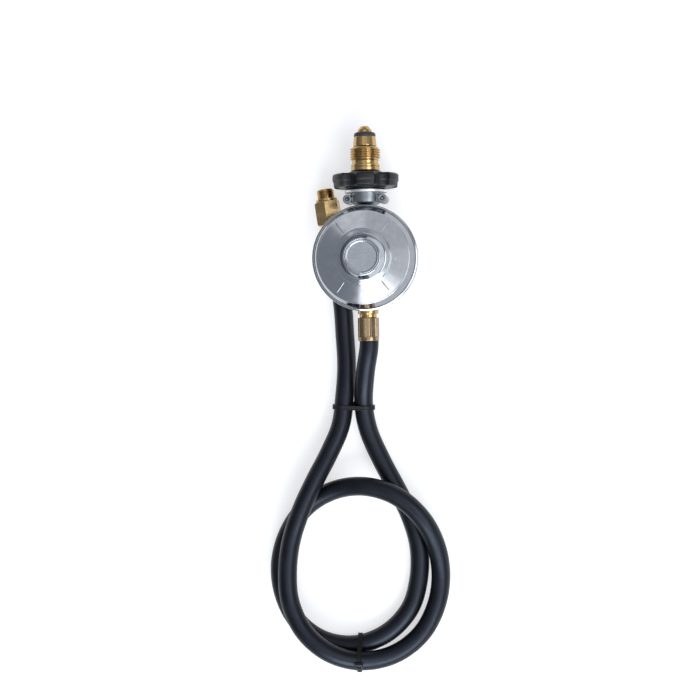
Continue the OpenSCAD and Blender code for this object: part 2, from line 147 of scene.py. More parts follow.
class NodeBuilder:
    """Short calls that add and join nodes in one tree."""

    def __init__(self, tree: bpy.types.NodeTree) -> None:
        """Keeps the tree that nodes are added to."""
        self.tree = tree

    def node(self, kind: str, inputs: dict | None = None, **settings: object) -> bpy.types.Node:
        """Adds a node.

        Args:
            kind: the node's type name.
            inputs: values or other nodes' outputs, by input name or number.
            **settings: the node's own properties.

        Returns:
            The new node.
        """
        made = self.tree.nodes.new(kind)
        for key, value in settings.items():
            setattr(made, key, value)
        self.fill(made, inputs or {})
        return made

    def fill(self, node: bpy.types.Node, inputs: dict) -> None:
        """Sets a node's inputs.

        Args:
            node: the node.
            inputs: values or other nodes' outputs, by input name or number.
        """
        for key, value in inputs.items():
            if isinstance(value, bpy.types.NodeSocket):
                self.tree.links.new(value, node.inputs[key])
            else:
                node.inputs[key].default_value = value

    def maths(self, operation: str, *values: object) -> bpy.types.NodeSocket:
        """Adds a maths node and gives its result.

        Args:
            operation: the operation's name, such as MULTIPLY.
            *values: numbers or outputs, in order.

        Returns:
            The node's output.
        """
        made = self.node("ShaderNodeMath", dict(enumerate(values)), operation=operation)
        return made.outputs[0]

    def vector(self, operation: str, *values: object) -> bpy.types.Node:
        """Adds a vector maths node, from vectors or outputs in order."""
        return self.node("ShaderNodeVectorMath", dict(enumerate(values)), operation=operation)

    def ranged(self, value: object, source: Span, target: Span) -> bpy.types.NodeSocket:
        """Maps a value from one range to another, and holds it within that.

        Args:
            value: the value's output.
            source: its lowest and highest value.
            target: what these two become.

        Returns:
            The node's output.
        """
        made = self.node("ShaderNodeMapRange", {
            "Value": value, "From Min": source[0], "From Max": source[1],
            "To Min": target[0], "To Max": target[1],
        })
        return made.outputs["Result"]

    def spread(self, noise: object, low: float, high: float) -> bpy.types.NodeSocket:
        """Maps the middle of a noise to the range from low to high."""
        return self.ranged(noise, NOISE_MIDDLE, (low, high))

    def coordinate(self, kind: str, axis: str) -> bpy.types.NodeSocket:
        """Gives one axis of a texture coordinate, such as the X of UV."""
        whole = self.node("ShaderNodeTexCoord").outputs[kind]
        return self.node("ShaderNodeSeparateXYZ", {0: whole}).outputs[axis]

    def between(self, share: object, first: Colour, second: Colour) -> bpy.types.NodeSocket:
        """Mixes two colours.

        Args:
            share: how much of the second colour shows, from 0 to 1.
            first: the colour at 0.
            second: the colour at 1.

        Returns:
            The node's output.
        """
        made = self.node("ShaderNodeMix", {"Factor": share}, data_type="RGBA")
        for socket, colour in ((made.inputs[6], first), (made.inputs[7], second)):
            socket.default_value = (*colour, 1.0)
        return made.outputs[2]


class Growth(NodeBuilder):
    """A geometry tree with named sizes, whose result is kept as a plain mesh."""

    def __init__(self, name: str) -> None:
        """Makes the named tree with its one output.

        Args:
            name: the tree's name.
        """
        super().__init__(bpy.data.node_groups.new(name, "GeometryNodeTree"))
        self.tree.interface.new_socket("Result", in_out="OUTPUT", socket_type="NodeSocketGeometry")
        self.entry = self.tree.nodes.new("NodeGroupInput")
        self.exit = self.tree.nodes.new("NodeGroupOutput")
        self.keys: dict[str, str] = {}

    def size(self, name: str, kind: str = "NodeSocketFloat") -> bpy.types.NodeSocket:
        """Adds a named input and gives the socket to read it from.

        Args:
            name: the input's name.
            kind: the socket's type name.

        Returns:
            The group input's output socket.
        """
        item = self.tree.interface.new_socket(name, in_out="INPUT", socket_type=kind)
        self.keys[name] = item.identifier
        return self.entry.outputs[name]

    def sizes(self, *names: str) -> list[bpy.types.NodeSocket]:
        """Adds numbers by name and gives their sockets, in order."""
        return [self.size(name) for name in names]

    def spiral(self, points: int, turns: object, radius: object, height: object,
               right: object = False) -> bpy.types.NodeSocket:
        """Winds a helix up local Z.

        Args:
            points: how many points a turn has.
            turns: how many turns it has.
            radius: its radius.
            height: its whole height.
            right: whether it is wound the other way round.

        Returns:
            The helix.
        """
        made = self.node("GeometryNodeCurveSpiral", {
            "Resolution": points, "Rotations": turns, "Start Radius": radius,
            "End Radius": radius, "Height": height, "Reverse": right,
        })
        return made.outputs[0]

    def circle(self, points: int, radius: object) -> bpy.types.NodeSocket:
        """Gives a round section."""
        made = self.node("GeometryNodeCurvePrimitiveCircle", {
            "Resolution": points, "Radius": radius,
        })
        return made.outputs[0]

    def swept(self, path: bpy.types.NodeSocket, section: bpy.types.NodeSocket,
              scale: object = 1.0) -> bpy.types.NodeSocket:
        """Sweeps a section along a path and closes both ends.

        Args:
            path: the curve to follow.
            section: the section's curve.
            scale: the section's size along the path.

        Returns:
            The swept mesh.
        """
        made = self.node("GeometryNodeCurveToMesh", {
            "Curve": path, "Profile Curve": section, "Scale": scale, "Fill Caps": True,
        })
        return made.outputs[0]

    def close(self, geometry: bpy.types.NodeSocket) -> None:
        """Ends the tree in Realize Instances and Set Material.

        Args:
            geometry: the result of the tree's last node.
        """
        real = self.node("GeometryNodeRealizeInstances", {0: geometry})
        painted = self.node("GeometryNodeSetMaterial", {
            "Geometry": real.outputs[0], "Material": self.size("Material", "NodeSocketMaterial"),
        })
        self.fill(self.exit, {0: painted.outputs[0]})

    def grow(self, material: bpy.types.Material, base: bpy.types.Mesh | None = None,
             **sizes: object) -> bpy.types.Mesh:
        """Runs the tree and keeps its mesh.

        Args:
            material: the finish that the tree sets.
            base: the mesh that the tree works on, if it reads one.
            **sizes: the named inputs, with spaces as underscores.

        Returns:
            The resulting mesh.
        """
        seed = placed("growth", base or bpy.data.meshes.new("growth"))
        modifier = seed.modifiers.new("growth", "NODES")
        modifier.node_group = self.tree
        modifier[self.keys["Material"]] = material
        for name, value in sizes.items():
            modifier[self.keys[name.replace("_", " ")]] = value
        depsgraph = bpy.context.evaluated_depsgraph_get()
        result = bpy.data.meshes.new_from_object(seed.evaluated_get(depsgraph))
        bpy.data.objects.remove(seed)
        return result


# ---- Finishes ----


class Surface(NodeBuilder):
    """A new material's tree, with what the finishes add to its shader. Sizes in millimetres."""

    def __init__(self, name: str) -> None:
        """Makes the material with a plain shader.

        Args:
            name: the material's name.
        """
        self.material = bpy.data.materials.new(name)
        self.material.use_nodes = True
        super().__init__(self.material.node_tree)
        self.shader = self.tree.nodes["Principled BSDF"]

    def dress(self, inputs: dict) -> None:
        """Sets the shader's inputs, by name."""
        self.fill(self.shader, inputs)

    def place(self) -> bpy.types.NodeSocket:
        """Gives the object coordinates, in metres."""
        return self.node("ShaderNodeTexCoord").outputs["Object"]

    def noise(self, grain: float, detail: float = 3.0) -> bpy.types.NodeSocket:
        """Adds a noise.

        Args:
            grain: the size of the noise's features.
            detail: how many finer layers it has.

        Returns:
            The noise, from 0 to 1.
        """
        made = self.node("ShaderNodeTexNoise", {
            "Vector": self.place(), "Scale": 1 / (grain * MM), "Detail": detail,
        })
        return made.outputs[0]

    def bump(self, height: bpy.types.NodeSocket, depth: float, strength: float = 1.0) -> None:
        """Adds a bump on top of what the shader's normal already has.

        Args:
            height: the relief, from 0 to 1.
            depth: the relief's depth.
            strength: how much of it shows.
        """
        inputs = {"Height": height, "Distance": depth * MM, "Strength": strength}
        normal = self.shader.inputs["Normal"]
        if normal.is_linked:
            inputs["Normal"] = normal.links[0].from_socket
        self.dress({"Normal": self.node("ShaderNodeBump", inputs).outputs["Normal"]})


@dataclass(frozen=True)
class Finish:
    """A surface finish, with the record's slot that it stands for."""

    name: str
    slot: str
    colour: Colour
    roughness: float
    metallic: float = 0.0
    shine: float = 0.5

    def material(self) -> bpy.types.Material:
        """Gives the finish's material, made the first time that it is asked for."""
        known = bpy.data.materials.get(self.name)
        if known:
            return known
        surface = Surface(self.name)
        surface.dress({
            "Base Color": (*self.colour, 1.0), "Metallic": self.metallic,
            "Roughness": self.roughness, "Specular IOR Level": self.shine,
        })
        self.paint(surface)
        return surface.material

    def paint(self, surface: Surface) -> None:
        """Adds what the finish has beyond a plain surface.

        Args:
            surface: the surface to add it to.
        """

    def gloss(self, surface: Surface, cloud: bpy.types.NodeSocket, less: float,
              more: float) -> None:
        """Makes the roughness uneven.

        Args:
            surface: the surface to work on.
            cloud: the noise that the roughness follows.
            less: how far it goes under the finish's own.
            more: how far it goes over it.
        """
        uneven = surface.spread(cloud, self.roughness - less, self.roughness + more)
        surface.dress({"Roughness": uneven})

    def tint(self, surface: Surface, share: bpy.types.NodeSocket, other: Colour) -> None:
        """Mixes a second colour into the finish's own.

        Args:
            surface: the surface to work on.
            share: how much of the second colour shows.
            other: the second colour.
        """
        surface.dress({"Base Color": surface.between(share, self.colour, other)})


@dataclass(frozen=True)
class TurnedMetal(Finish):
    """Brass or steel off a lathe: faint tool rings and a little tarnish."""

    tarnish: Colour = (0.4, 0.25, 0.1)
    ring_pitch: float = 0.22
    ring_depth: float = 0.006
    stained: float = 0.3
    stain_size: float = 2.2
    cloud_size: float = 7.0

    def paint(self, surface: Surface) -> None:
        """Adds tarnish, uneven polish and the lathe's rings.

        Args:
            surface: the surface to add them to.
        """
        cloud = surface.noise(self.cloud_size)
        stain = surface.spread(surface.noise(self.stain_size), 0.0, self.stained)
        share = surface.maths("MULTIPLY", surface.spread(cloud, 0.1, 1.0), stain)
        self.tint(surface, share, self.tarnish)
        self.gloss(surface, cloud, 0.05, 0.1)
        rings = surface.node("ShaderNodeTexWave", {
            "Vector": surface.place(), "Scale": WAVE_BAND / (self.ring_pitch * MM),
            "Distortion": 0.6, "Detail": 1.0,
        }, bands_direction="Y")
        surface.bump(rings.outputs["Fac"], self.ring_depth, 0.25)


@dataclass(frozen=True)
class CastMetal(Finish):
    """Die-cast zinc: a fine orange-peel skin, duller in random patches."""

    grain: float = 0.5
    depth: float = 0.05
    dullest: float = 0.72
    cloud_size: float = 9.0

    def paint(self, surface: Surface) -> None:
        """Adds the skin's grain and its uneven grey.

        Args:
            surface: the surface to add them to.
        """
        cloud = surface.noise(self.cloud_size, 4.0)
        dull = tuple(self.dullest * part for part in self.colour)
        self.tint(surface, surface.spread(cloud, 0.0, 1.0), dull)
        self.gloss(surface, cloud, 0.06, 0.08)
        surface.bump(surface.noise(self.grain, 2.0), self.depth, 0.6)


@dataclass(frozen=True)
class SpunMetal(Finish):
    """Polished and lacquered casting, with faint rings about the dish's axis.

    The drafted wall, whose normal's Z lies under wall_normal, gets painted shade: its colour is
    darkened to stand for the darker reflections on it.
    """

    centre_y: float = 0.0
    dullest: float = 0.9
    # Share of its colour that the wall keeps under its painted shade
    wall_painted_shade: float = 0.62
    wall_normal: Span = (0.34, 0.48)
    mottle_size: float = 5.0
    ring_depth: float = 0.004
    ripple_size: float = 2.5
    ripple_depth: float = 0.01

    def paint(self, surface: Surface) -> None:
        """Adds polishing rings, a soft mottle and painted shade on the drafted wall.

        Args:
            surface: the surface to add them to.
        """
        centred = surface.vector("ADD", surface.place(), (0.0, -self.centre_y * MM, 0.0))
        flat = surface.vector("MULTIPLY", centred.outputs[0], (1.0, 1.0, 0.0))
        radius = surface.vector("LENGTH", flat.outputs[0])
        rings = surface.node("ShaderNodeTexNoise", {
            "W": surface.maths("MULTIPLY", radius.outputs["Value"], 1 / MM), "Scale": 4.0,
            "Detail": 3.0,
        }, noise_dimensions="1D")
        mottle = surface.noise(self.mottle_size)
        self.gloss(surface, mottle, 0.03, 0.05)
        dull = tuple(self.dullest * part for part in self.colour)
        colour = surface.between(surface.spread(mottle, 0.0, 1.0), self.colour, dull)
        # Painted shade: steep faces, such as the drafted wall, are darkened to stand for the
        # darker reflections on them
        wall_shade_mask = surface.ranged(surface.coordinate("Normal", "Z"), self.wall_normal,
                                  (self.wall_painted_shade, 1.0))
        shaded = surface.node("ShaderNodeVectorMath", {0: colour, "Scale": wall_shade_mask},
                              operation="SCALE")
        surface.dress({"Base Color": shaded.outputs[0]})
        surface.bump(rings.outputs[0], self.ring_depth, 0.3)
        surface.bump(surface.noise(self.ripple_size, 1.0), self.ripple_depth, 0.15)


@dataclass(frozen=True)
class Moulded(Finish):
    """Moulded plastic or rubber: a fine grain and slightly uneven gloss."""

    grain: float = 0.35
    depth: float = 0.02
    dust: float = 0.002
    cloud_size: float = 6.0

    def paint(self, surface: Surface) -> None:
        """Adds grain, gloss and a little dust.

        Args:
            surface: the surface to add them to.
        """
        cloud = surface.noise(self.cloud_size)
        self.gloss(surface, cloud, 0.05, 0.08)
        dusty = tuple(1.5 * part + self.dust for part in self.colour)
        self.tint(surface, surface.spread(cloud, 0.0, 1.0), dusty)
        surface.bump(surface.noise(self.grain, 2.0), self.depth, 0.5)


@dataclass(frozen=True)
class Extruded(Finish):
    """Extruded rubber hose: faint die lines along it and a soft satin skin."""

    lines: float = 60.0
    line_depth: float = 0.06
    grain: float = 0.45
    depth: float = 0.05
    bloom: float = 0.001
    bloom_size: float = 14.0
    sheen: Colour = (0.77, 0.84, 1.0)

    def paint(self, surface: Surface) -> None:
        """Adds die lines that follow the hose's own map, grain and bloom.

        Args:
            surface: the surface to add them to.
        """
        die = surface.node("ShaderNodeTexNoise", {
            "W": surface.coordinate("UV", "X"), "Scale": self.lines, "Detail": 3.0,
        }, noise_dimensions="1D")
        surface.bump(die.outputs[0], self.line_depth, 0.25)
        surface.bump(surface.noise(self.grain), self.depth, 0.25)
        cloud = surface.noise(self.bloom_size, 5.0)
        self.gloss(surface, cloud, 0.05, 0.07)
        surface.dress({"Specular Tint": (*self.sheen, 1.0)})
        greyed = tuple(1.5 * part + self.bloom for part in self.colour)
        self.tint(surface, surface.spread(cloud, 0.0, 1.0), greyed)


# Middle of the dish along Y, in millimetres
DISH_Y = -18.5

BRASS = TurnedMetal("turned_brass", "brass", (0.52, 0.35, 0.15), 0.17, 1.0)
BAR_BRASS = TurnedMetal("bar_brass", "brass", (0.62, 0.43, 0.2), 0.22, 1.0,
                        tarnish=(0.5, 0.32, 0.14), ring_pitch=0.4, stained=0.1)
# Darker than the turned brass: partly a duller crimped sleeve, partly painted shade for the dark
# reflections on the ferrules' flanks
CRIMPED_BRASS_AND_SHADE = TurnedMetal("crimped_brass_and_painted_shade", "brass_ferrule", (0.33, 0.235, 0.135), 0.24, 1.0,
                            tarnish=(0.3, 0.21, 0.12), ring_pitch=0.4, stained=0.15)
COVER_ZINC = SpunMetal("polished_zinc", "zinc_cover", (0.433, 0.45, 0.48), 0.1, 1.0,
                       centre_y=DISH_Y)
CAP_ZINC = CastMetal("cap_zinc", "zinc_cover", (0.49, 0.51, 0.545), 0.25, 1.0, grain=0.9,
                     depth=0.06)
BODY_ZINC = CastMetal("cast_zinc", "zinc_body", (0.31, 0.33, 0.35), 0.34, 1.0)
# Near-white zinc on the neck's flange: partly a brighter turned face, partly a painted highlight
# for the bright line along its edge
FLANGE_ZINC_AND_HIGHLIGHT = CastMetal("turned_zinc_and_painted_highlight", "zinc_body", (0.9, 0.91, 0.93), 0.42, 1.0, depth=0.01)
STEEL = TurnedMetal("plain_steel", "inner_steel", (0.62, 0.62, 0.63), 0.3, 1.0,
                    tarnish=(0.4, 0.4, 0.41))
WHEEL_PLASTIC = Moulded("wheel_plastic", "handwheel_plastic", (0.003, 0.0032, 0.004), 0.38,
                        shine=0.35)
SEAL_RUBBER = Moulded("moulded_seal", "seal_rubber", (0.016, 0.016, 0.017), 0.5, grain=0.6)
TIE_NYLON = Moulded("moulded_tie", "tie_nylon", (0.0035, 0.0035, 0.004), 0.45, shine=0.3,
                    grain=0.8)
HOSE_RUBBER = Extruded("extruded_rubber", "hose_rubber", (0.0012, 0.0015, 0.0028), 0.4,
                       shine=0.34)


# ---- Shapes ----


def eased(outline: Outline, radius: float, steps: int = 3) -> list[tuple[float, float]]:
    """Rounds the corners of a closed outline, apart from those on the axis.

    Args:
        outline: corners as (station, radius).
        radius: how far from a corner the rounding starts.
        steps: pieces that each round is made of.

    Returns:
        The rounded outline.
    """
    rounded: list[tuple[float, float]] = []
    for index, corner in enumerate(outline):
        here = Vector(corner)
        back = Vector(outline[index - 1]) - here
        ahead = Vector(outline[(index + 1) % len(outline)]) - here
        straight = back.angle(ahead) > math.radians(180 - NEARLY_STRAIGHT)
        if corner[1] < ON_AXIS or straight:
            rounded.append(corner)
            continue
        reach = min(radius, 0.45 * back.length, 0.45 * ahead.length)
        start = here + back.normalized() * reach
        end = here + ahead.normalized() * reach
        for step in range(steps + 1):
            share = step / steps
            point = start.lerp(here, share).lerp(here.lerp(end, share), share)
            rounded.append((point.x, point.y))
    return rounded


def finer(outline: Outline, longest: float) -> list[tuple[float, float]]:
    """Splits the long sides of a closed outline.

    Args:
        outline: corners as (station, radius).
        longest: the longest side that may stay.

    Returns:
        The outline with the added points.
    """
    points: list[tuple[float, float]] = []
    for index, corner in enumerate(outline):
        start = Vector(corner)
        end = Vector(outline[(index + 1) % len(outline)])
        parts = max(1, math.ceil((end - start).length / longest))
        points += [tuple(start.lerp(end, part / parts)) for part in range(parts)]
    return points


def turned(outline: Outline, steps: int = 128, swell: Swell | None = None,
           start: float = 0.0) -> bpy.types.Mesh:
    """Turns a closed outline about local Z.

    Args:
        outline: corners as (station, radius).
        steps: faces round the axis.
        swell: gives the radius from a station, a radius and an angle in degrees.
        start: angle of the first seam, in degrees.

    Returns:
        The closed mesh, in millimetres.
    """
    form = bmesh.new()
    rings = []
    for step in range(steps):
        degrees = start + 360 * step / steps
        angle = math.radians(degrees)
        ring = []
        for station, radius in outline:
            out = swell(station, radius, degrees) if swell else radius
            ring.append(form.verts.new((out * math.cos(angle), out * math.sin(angle), station)))
        rings.append(ring)
    count = len(outline)
    for step, ring in enumerate(rings):
        beside = rings[(step + 1) % steps]
        for index in range(count):
            after = (index + 1) % count
            if outline[index][1] < ON_AXIS and outline[after][1] < ON_AXIS:
                continue
            form.faces.new((ring[index], beside[index], beside[after], ring[after]))
    return closed(form)


def closed(form: bmesh.types.BMesh) -> bpy.types.Mesh:
    """Merges doubles, turns the faces outwards and gives the mesh.

    Args:
        form: the working mesh, which is freed.

    Returns:
        The finished mesh.
    """
    bmesh.ops.remove_doubles(form, verts=form.verts, dist=1e-5)
    bmesh.ops.recalc_face_normals(form, faces=form.faces)
    return kept(form, "form")


def block(low: Sequence[float], high: Sequence[float]) -> bpy.types.Mesh:
    """Makes a box.

    Args:
        low: its lowest corner.
        high: its highest corner.

    Returns:
        The box.
    """
    form = bmesh.new()
    centre = (Vector(low) + Vector(high)) / 2
    size = Vector(high) - Vector(low)
    place = Matrix.Translation(centre) @ Matrix.Diagonal((*size, 1.0))
    bmesh.ops.create_cube(form, size=1.0, matrix=place)
    return closed(form)


def rod(low: float, high: float, radius: float, ease: float = 0.3) -> bpy.types.Mesh:
    """Makes a plain rod along local Z with eased ends."""
    return turned(eased([(low, 0.0), (low, radius), (high, radius), (high, 0.0)], ease), 64)


def moved(mesh: bpy.types.Mesh, place: Matrix) -> bpy.types.Mesh:
    """Puts a mesh in place and gives it back."""
    mesh.transform(place)
    return mesh


def joined(meshes: Iterable[bpy.types.Mesh]) -> bpy.types.Mesh:
    """Joins meshes.

    Args:
        meshes: the closed meshes to join.

    Returns:
        One mesh, with its faces outwards.
    """
    form = bmesh.new()
    for mesh in meshes:
        form.from_mesh(mesh)
    bmesh.ops.recalc_face_normals(form, faces=form.faces)
    return kept(form, "joined")


def worked(mesh: bpy.types.Mesh, *steps: tuple[str, dict]) -> bpy.types.Mesh:
    """Runs modifiers on a mesh and keeps the result.

    Args:
        mesh: the mesh to work on.
        *steps: each modifier's type and its settings.

    Returns:
        The resulting mesh.
    """
    bench = placed("bench", mesh)
    for kind, settings in steps:
        modifier = bench.modifiers.new(kind.lower(), kind)
        for key, value in settings.items():
            setattr(modifier, key, value)
    depsgraph = bpy.context.evaluated_depsgraph_get()
    result = bpy.data.meshes.new_from_object(bench.evaluated_get(depsgraph))
    bpy.data.objects.remove(bench)
    return result


def cut(mesh: bpy.types.Mesh, tool: bpy.types.Mesh) -> bpy.types.Mesh:
    """Takes a tool's shape out of a mesh.

    Args:
        mesh: the mesh to cut.
        tool: the closed shape to take out.

    Returns:
        The mesh that is left.
    """
    cutter = placed("cutter", tool)
    result = worked(mesh, ("BOOLEAN", {"object": cutter, "operation": "DIFFERENCE"}))
    bpy.data.objects.remove(cutter)
    return result


def piece(name: str, mesh: bpy.types.Mesh, finish: Finish, body: Body | None, *nodes: str,
          place: Matrix = Matrix.Identity(4), sharp: float = 40.0) -> bpy.types.Object:
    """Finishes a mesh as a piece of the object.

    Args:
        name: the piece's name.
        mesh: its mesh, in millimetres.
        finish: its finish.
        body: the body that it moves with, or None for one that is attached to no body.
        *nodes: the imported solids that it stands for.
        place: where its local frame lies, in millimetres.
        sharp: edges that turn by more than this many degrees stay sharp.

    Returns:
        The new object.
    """
    mesh.transform(Matrix.Scale(MM, 4) @ place)
    mesh.name = name
    mesh.materials.clear()
    mesh.materials.append(finish.material())
    mesh.shade_smooth()
    mesh.set_sharp_from_angle(angle=math.radians(sharp))
    made = placed(name, mesh)
    normals = made.modifiers.new("even_normals", "WEIGHTED_NORMAL")
    normals.keep_sharp = True
    if body:
        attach(made, body.value)
    if nodes:
        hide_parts(*nodes)
    LOG.info("%s: %d faces on %s", name, len(mesh.polygons), body.value if body else "two bodies")
    return made


# ---- Places, in millimetres ----

# Height of the axis that the inlet and the outlet share
AXIS_Z = 25.0
# Mouth of the far ferrule, and how far its axis leans to the left, in degrees
FAR_MOUTH = (-26.0, -14.0, 11.2)
FAR_LEAN = 7.5

LIE_ALONG_Y = Matrix.Rotation(math.radians(-90), 4, "X")
ON_DISH = Matrix.Translation((0, DISH_Y, 0))
ON_INLET = Matrix.Translation((0, DISH_Y, AXIS_Z)) @ LIE_ALONG_Y
ON_OUTLET = Matrix.Translation((0, DISH_Y, AXIS_Z)) @ Matrix.Rotation(math.radians(90), 4, "X")
ON_FAR = (Matrix.Translation(FAR_MOUTH) @ Matrix.Rotation(math.radians(FAR_LEAN), 4, "Z")
          @ LIE_ALONG_Y)


# ---- Studio ----


@dataclass(frozen=True)
class Lamp:
    """A rectangular soft light, in metres and watts."""

    name: str
    place: tuple[float, float, float]
    size: tuple[float, float]
    power: float
    colour: Colour = WHITE
    aim: tuple[float, float, float] = (0.0, -0.1, 0.0)

    def build(self) -> None:
        """Makes the lamp, turned to its aim and hidden from the camera."""
        data = bpy.data.lights.new(self.name, "AREA")
        data.shape = "RECTANGLE"
        data.size, data.size_y = self.size
        data.energy = self.power
        data.color = self.colour
        made = placed(self.name, data)
        made.location = self.place
        aim = Vector(self.aim) - Vector(self.place)
        made.rotation_euler = aim.to_track_quat("-Z", "Y").to_euler()
        made.visible_camera = False


@dataclass
class Studio:
    """Camera, floor, sky and lamps, in metres and degrees."""

    target: tuple[float, float, float] = (-0.0166, -0.0852, 0.007)
    tilt: float = 8.0
    roll: float = 1.15
    distance: float = 1.3
    lens: float = 89.74
    clip: Span = (0.05, 20.0)
    floor_reach: float = 6.0
    floor_height: float = -0.0002
    floor_colour: Colour = (0.5, 0.5, 0.5)
    floor_glow: float = 0.58
    sky: Colour = (0.36, 0.385, 0.435)
    left_dusk: float = 0.6
    dusk_span: Span = (-0.9, -0.5)
    lamps: list[Lamp] = field(default_factory=lambda: [
        Lamp("key", (-0.06, -0.4, 1.55), (0.38, 0.4), 1.2),
        Lamp("fade", (0.2, -0.28, 1.6), (0.14, 0.2), 0.15, aim=(0.2, -0.28, 0.0)),
        Lamp("right_panel", (0.12, -0.03, 1.6), (0.6, 0.36), 0.43, aim=(0.12, -0.03, 0.0)),
        Lamp("top_panel", (0.1, 0.37, 1.6), (0.56, 0.44), 0.34, aim=(0.1, 0.37, 0.0)),
        Lamp("left_panel", (-0.35, 0.38, 1.6), (0.34, 0.44), 0.34, aim=(-0.35, 0.38, 0.0)),
        Lamp("back", (0.3, 0.9, 1.5), (1.0, 0.5), 2.0),
        Lamp("right", (0.95, -0.25, 1.35), (1.1, 0.9), 11.0, (0.9, 0.95, 1.0)),
        Lamp("front", (0.35, -1.65, 1.25), (1.7, 1.0), 50.0, (0.84, 0.91, 1.0),
             aim=(0.0, -0.25, 0.0)),
    ])

    def camera(self) -> None:
        """Places the camera above the regulator, tilted a little to its right."""
        tilt = math.radians(self.tilt)
        back = Vector((math.sin(tilt), 0, math.cos(tilt)))
        data = bpy.data.cameras.new("camera")
        data.lens = self.lens
        data.clip_start, data.clip_end = self.clip
        made = placed("camera", data)
        made.location = Vector(self.target) + self.distance * back
        right = Vector((math.cos(tilt), 0, -math.sin(tilt)))
        turn = Matrix.Rotation(math.radians(-self.roll), 3, back)
        level = Matrix((right, Vector((0, 1, 0)), back)).transposed()
        made.rotation_euler = (turn @ level).to_euler()
        bpy.context.scene.camera = made

    def floor(self) -> None:
        """Lays the pale floor, which glows a little for the camera."""
        form = bmesh.new()
        bmesh.ops.create_grid(form, x_segments=1, y_segments=1, size=self.floor_reach)
        mesh = kept(form, "floor")
        surface = Surface("floor")
        seen = surface.node("ShaderNodeLightPath").outputs
        direct = surface.maths("ADD", seen["Is Camera Ray"], seen["Is Glossy Ray"])
        any_ray = surface.maths("ADD", direct, seen["Is Transmission Ray"])
        surface.dress({
            "Base Color": (*self.floor_colour, 1.0), "Roughness": 0.9, "Specular IOR Level": 0.1,
            "Emission Color": (*WHITE, 1.0),
            "Emission Strength": surface.maths("MULTIPLY", any_ray, self.floor_glow),
        })
        mesh.materials.append(surface.material)
        made = placed("floor", mesh)
        made.location.z = self.floor_height

    def world(self) -> None:
        """Sets a sky that darkens towards the left, white where the camera sees it."""
        world = bpy.data.worlds.new("sky")
        world.use_nodes = True
        bpy.context.scene.world = world
        nodes = NodeBuilder(world.node_tree)
        world.node_tree.nodes.clear()
        seen = nodes.node("ShaderNodeLightPath").outputs["Is Camera Ray"]
        colour = nodes.between(seen, self.sky, WHITE)
        level = nodes.ranged(nodes.coordinate("Generated", "X"), self.dusk_span,
                             (self.left_dusk, 1.0))
        shader = nodes.node("ShaderNodeBackground", {
            "Color": colour, "Strength": nodes.maths("MAXIMUM", level, seen),
        })
        nodes.node("ShaderNodeOutputWorld", {0: shader.outputs[0]})

    def build(self) -> None:
        """Builds the whole studio, for a plain view transform."""
        self.camera()
        self.floor()
        self.world()
        for lamp in self.lamps:
            lamp.build()
        bpy.context.scene.view_settings.view_transform = "Standard"


# ---- Hose and ties ----

# Points of the hose's free route, in metres, from the outlet to the far fitting: down to the
# surface, once round, up over the first strand, round again on top, and down under the dish
HOSE_FREE = [
    (-0.004, -0.1035, 0.019), (-0.0065, -0.1255, 0.0116), (-0.0035, -0.146, 0.0082),
    (0.0055, -0.1675, 0.0072), (0.016, -0.188, 0.0072), (0.026, -0.209, 0.0072),
    (0.032, -0.2315, 0.0072), (0.0315, -0.255, 0.0072), (0.0245, -0.2775, 0.0072),
    (0.0075, -0.2955, 0.0072), (-0.016, -0.3045, 0.0076), (-0.0405, -0.3015, 0.0072),
    (-0.06, -0.2875, 0.0072), (-0.0705, -0.2665, 0.0072), (-0.0725, -0.243, 0.0072),
    (-0.0655, -0.22, 0.0072), (-0.051, -0.201, 0.0078), (-0.0295, -0.189, 0.0127),
    (-0.005, -0.186, 0.0195), (0.0185, -0.1935, 0.022), (0.036, -0.21, 0.0198),
    (0.0455, -0.231, 0.0133), (0.048, -0.254, 0.008), (0.0435, -0.277, 0.0072),
    (0.0315, -0.2975, 0.0074), (0.0115, -0.3115, 0.0104), (-0.0125, -0.315, 0.0172),
    (-0.035, -0.308, 0.022), (-0.053, -0.2925, 0.0223), (-0.063, -0.271, 0.0217),
    (-0.0645, -0.2475, 0.0215), (-0.061, -0.2245, 0.022), (-0.053, -0.2025, 0.0232),
    (-0.043, -0.1815, 0.021), (-0.0325, -0.161, 0.015), (-0.024, -0.141, 0.012),
    (-0.0208, -0.119, 0.0106), (-0.0192, -0.097, 0.0086), (-0.02, -0.075, 0.0082),
    (-0.021, -0.052, 0.0097),
]


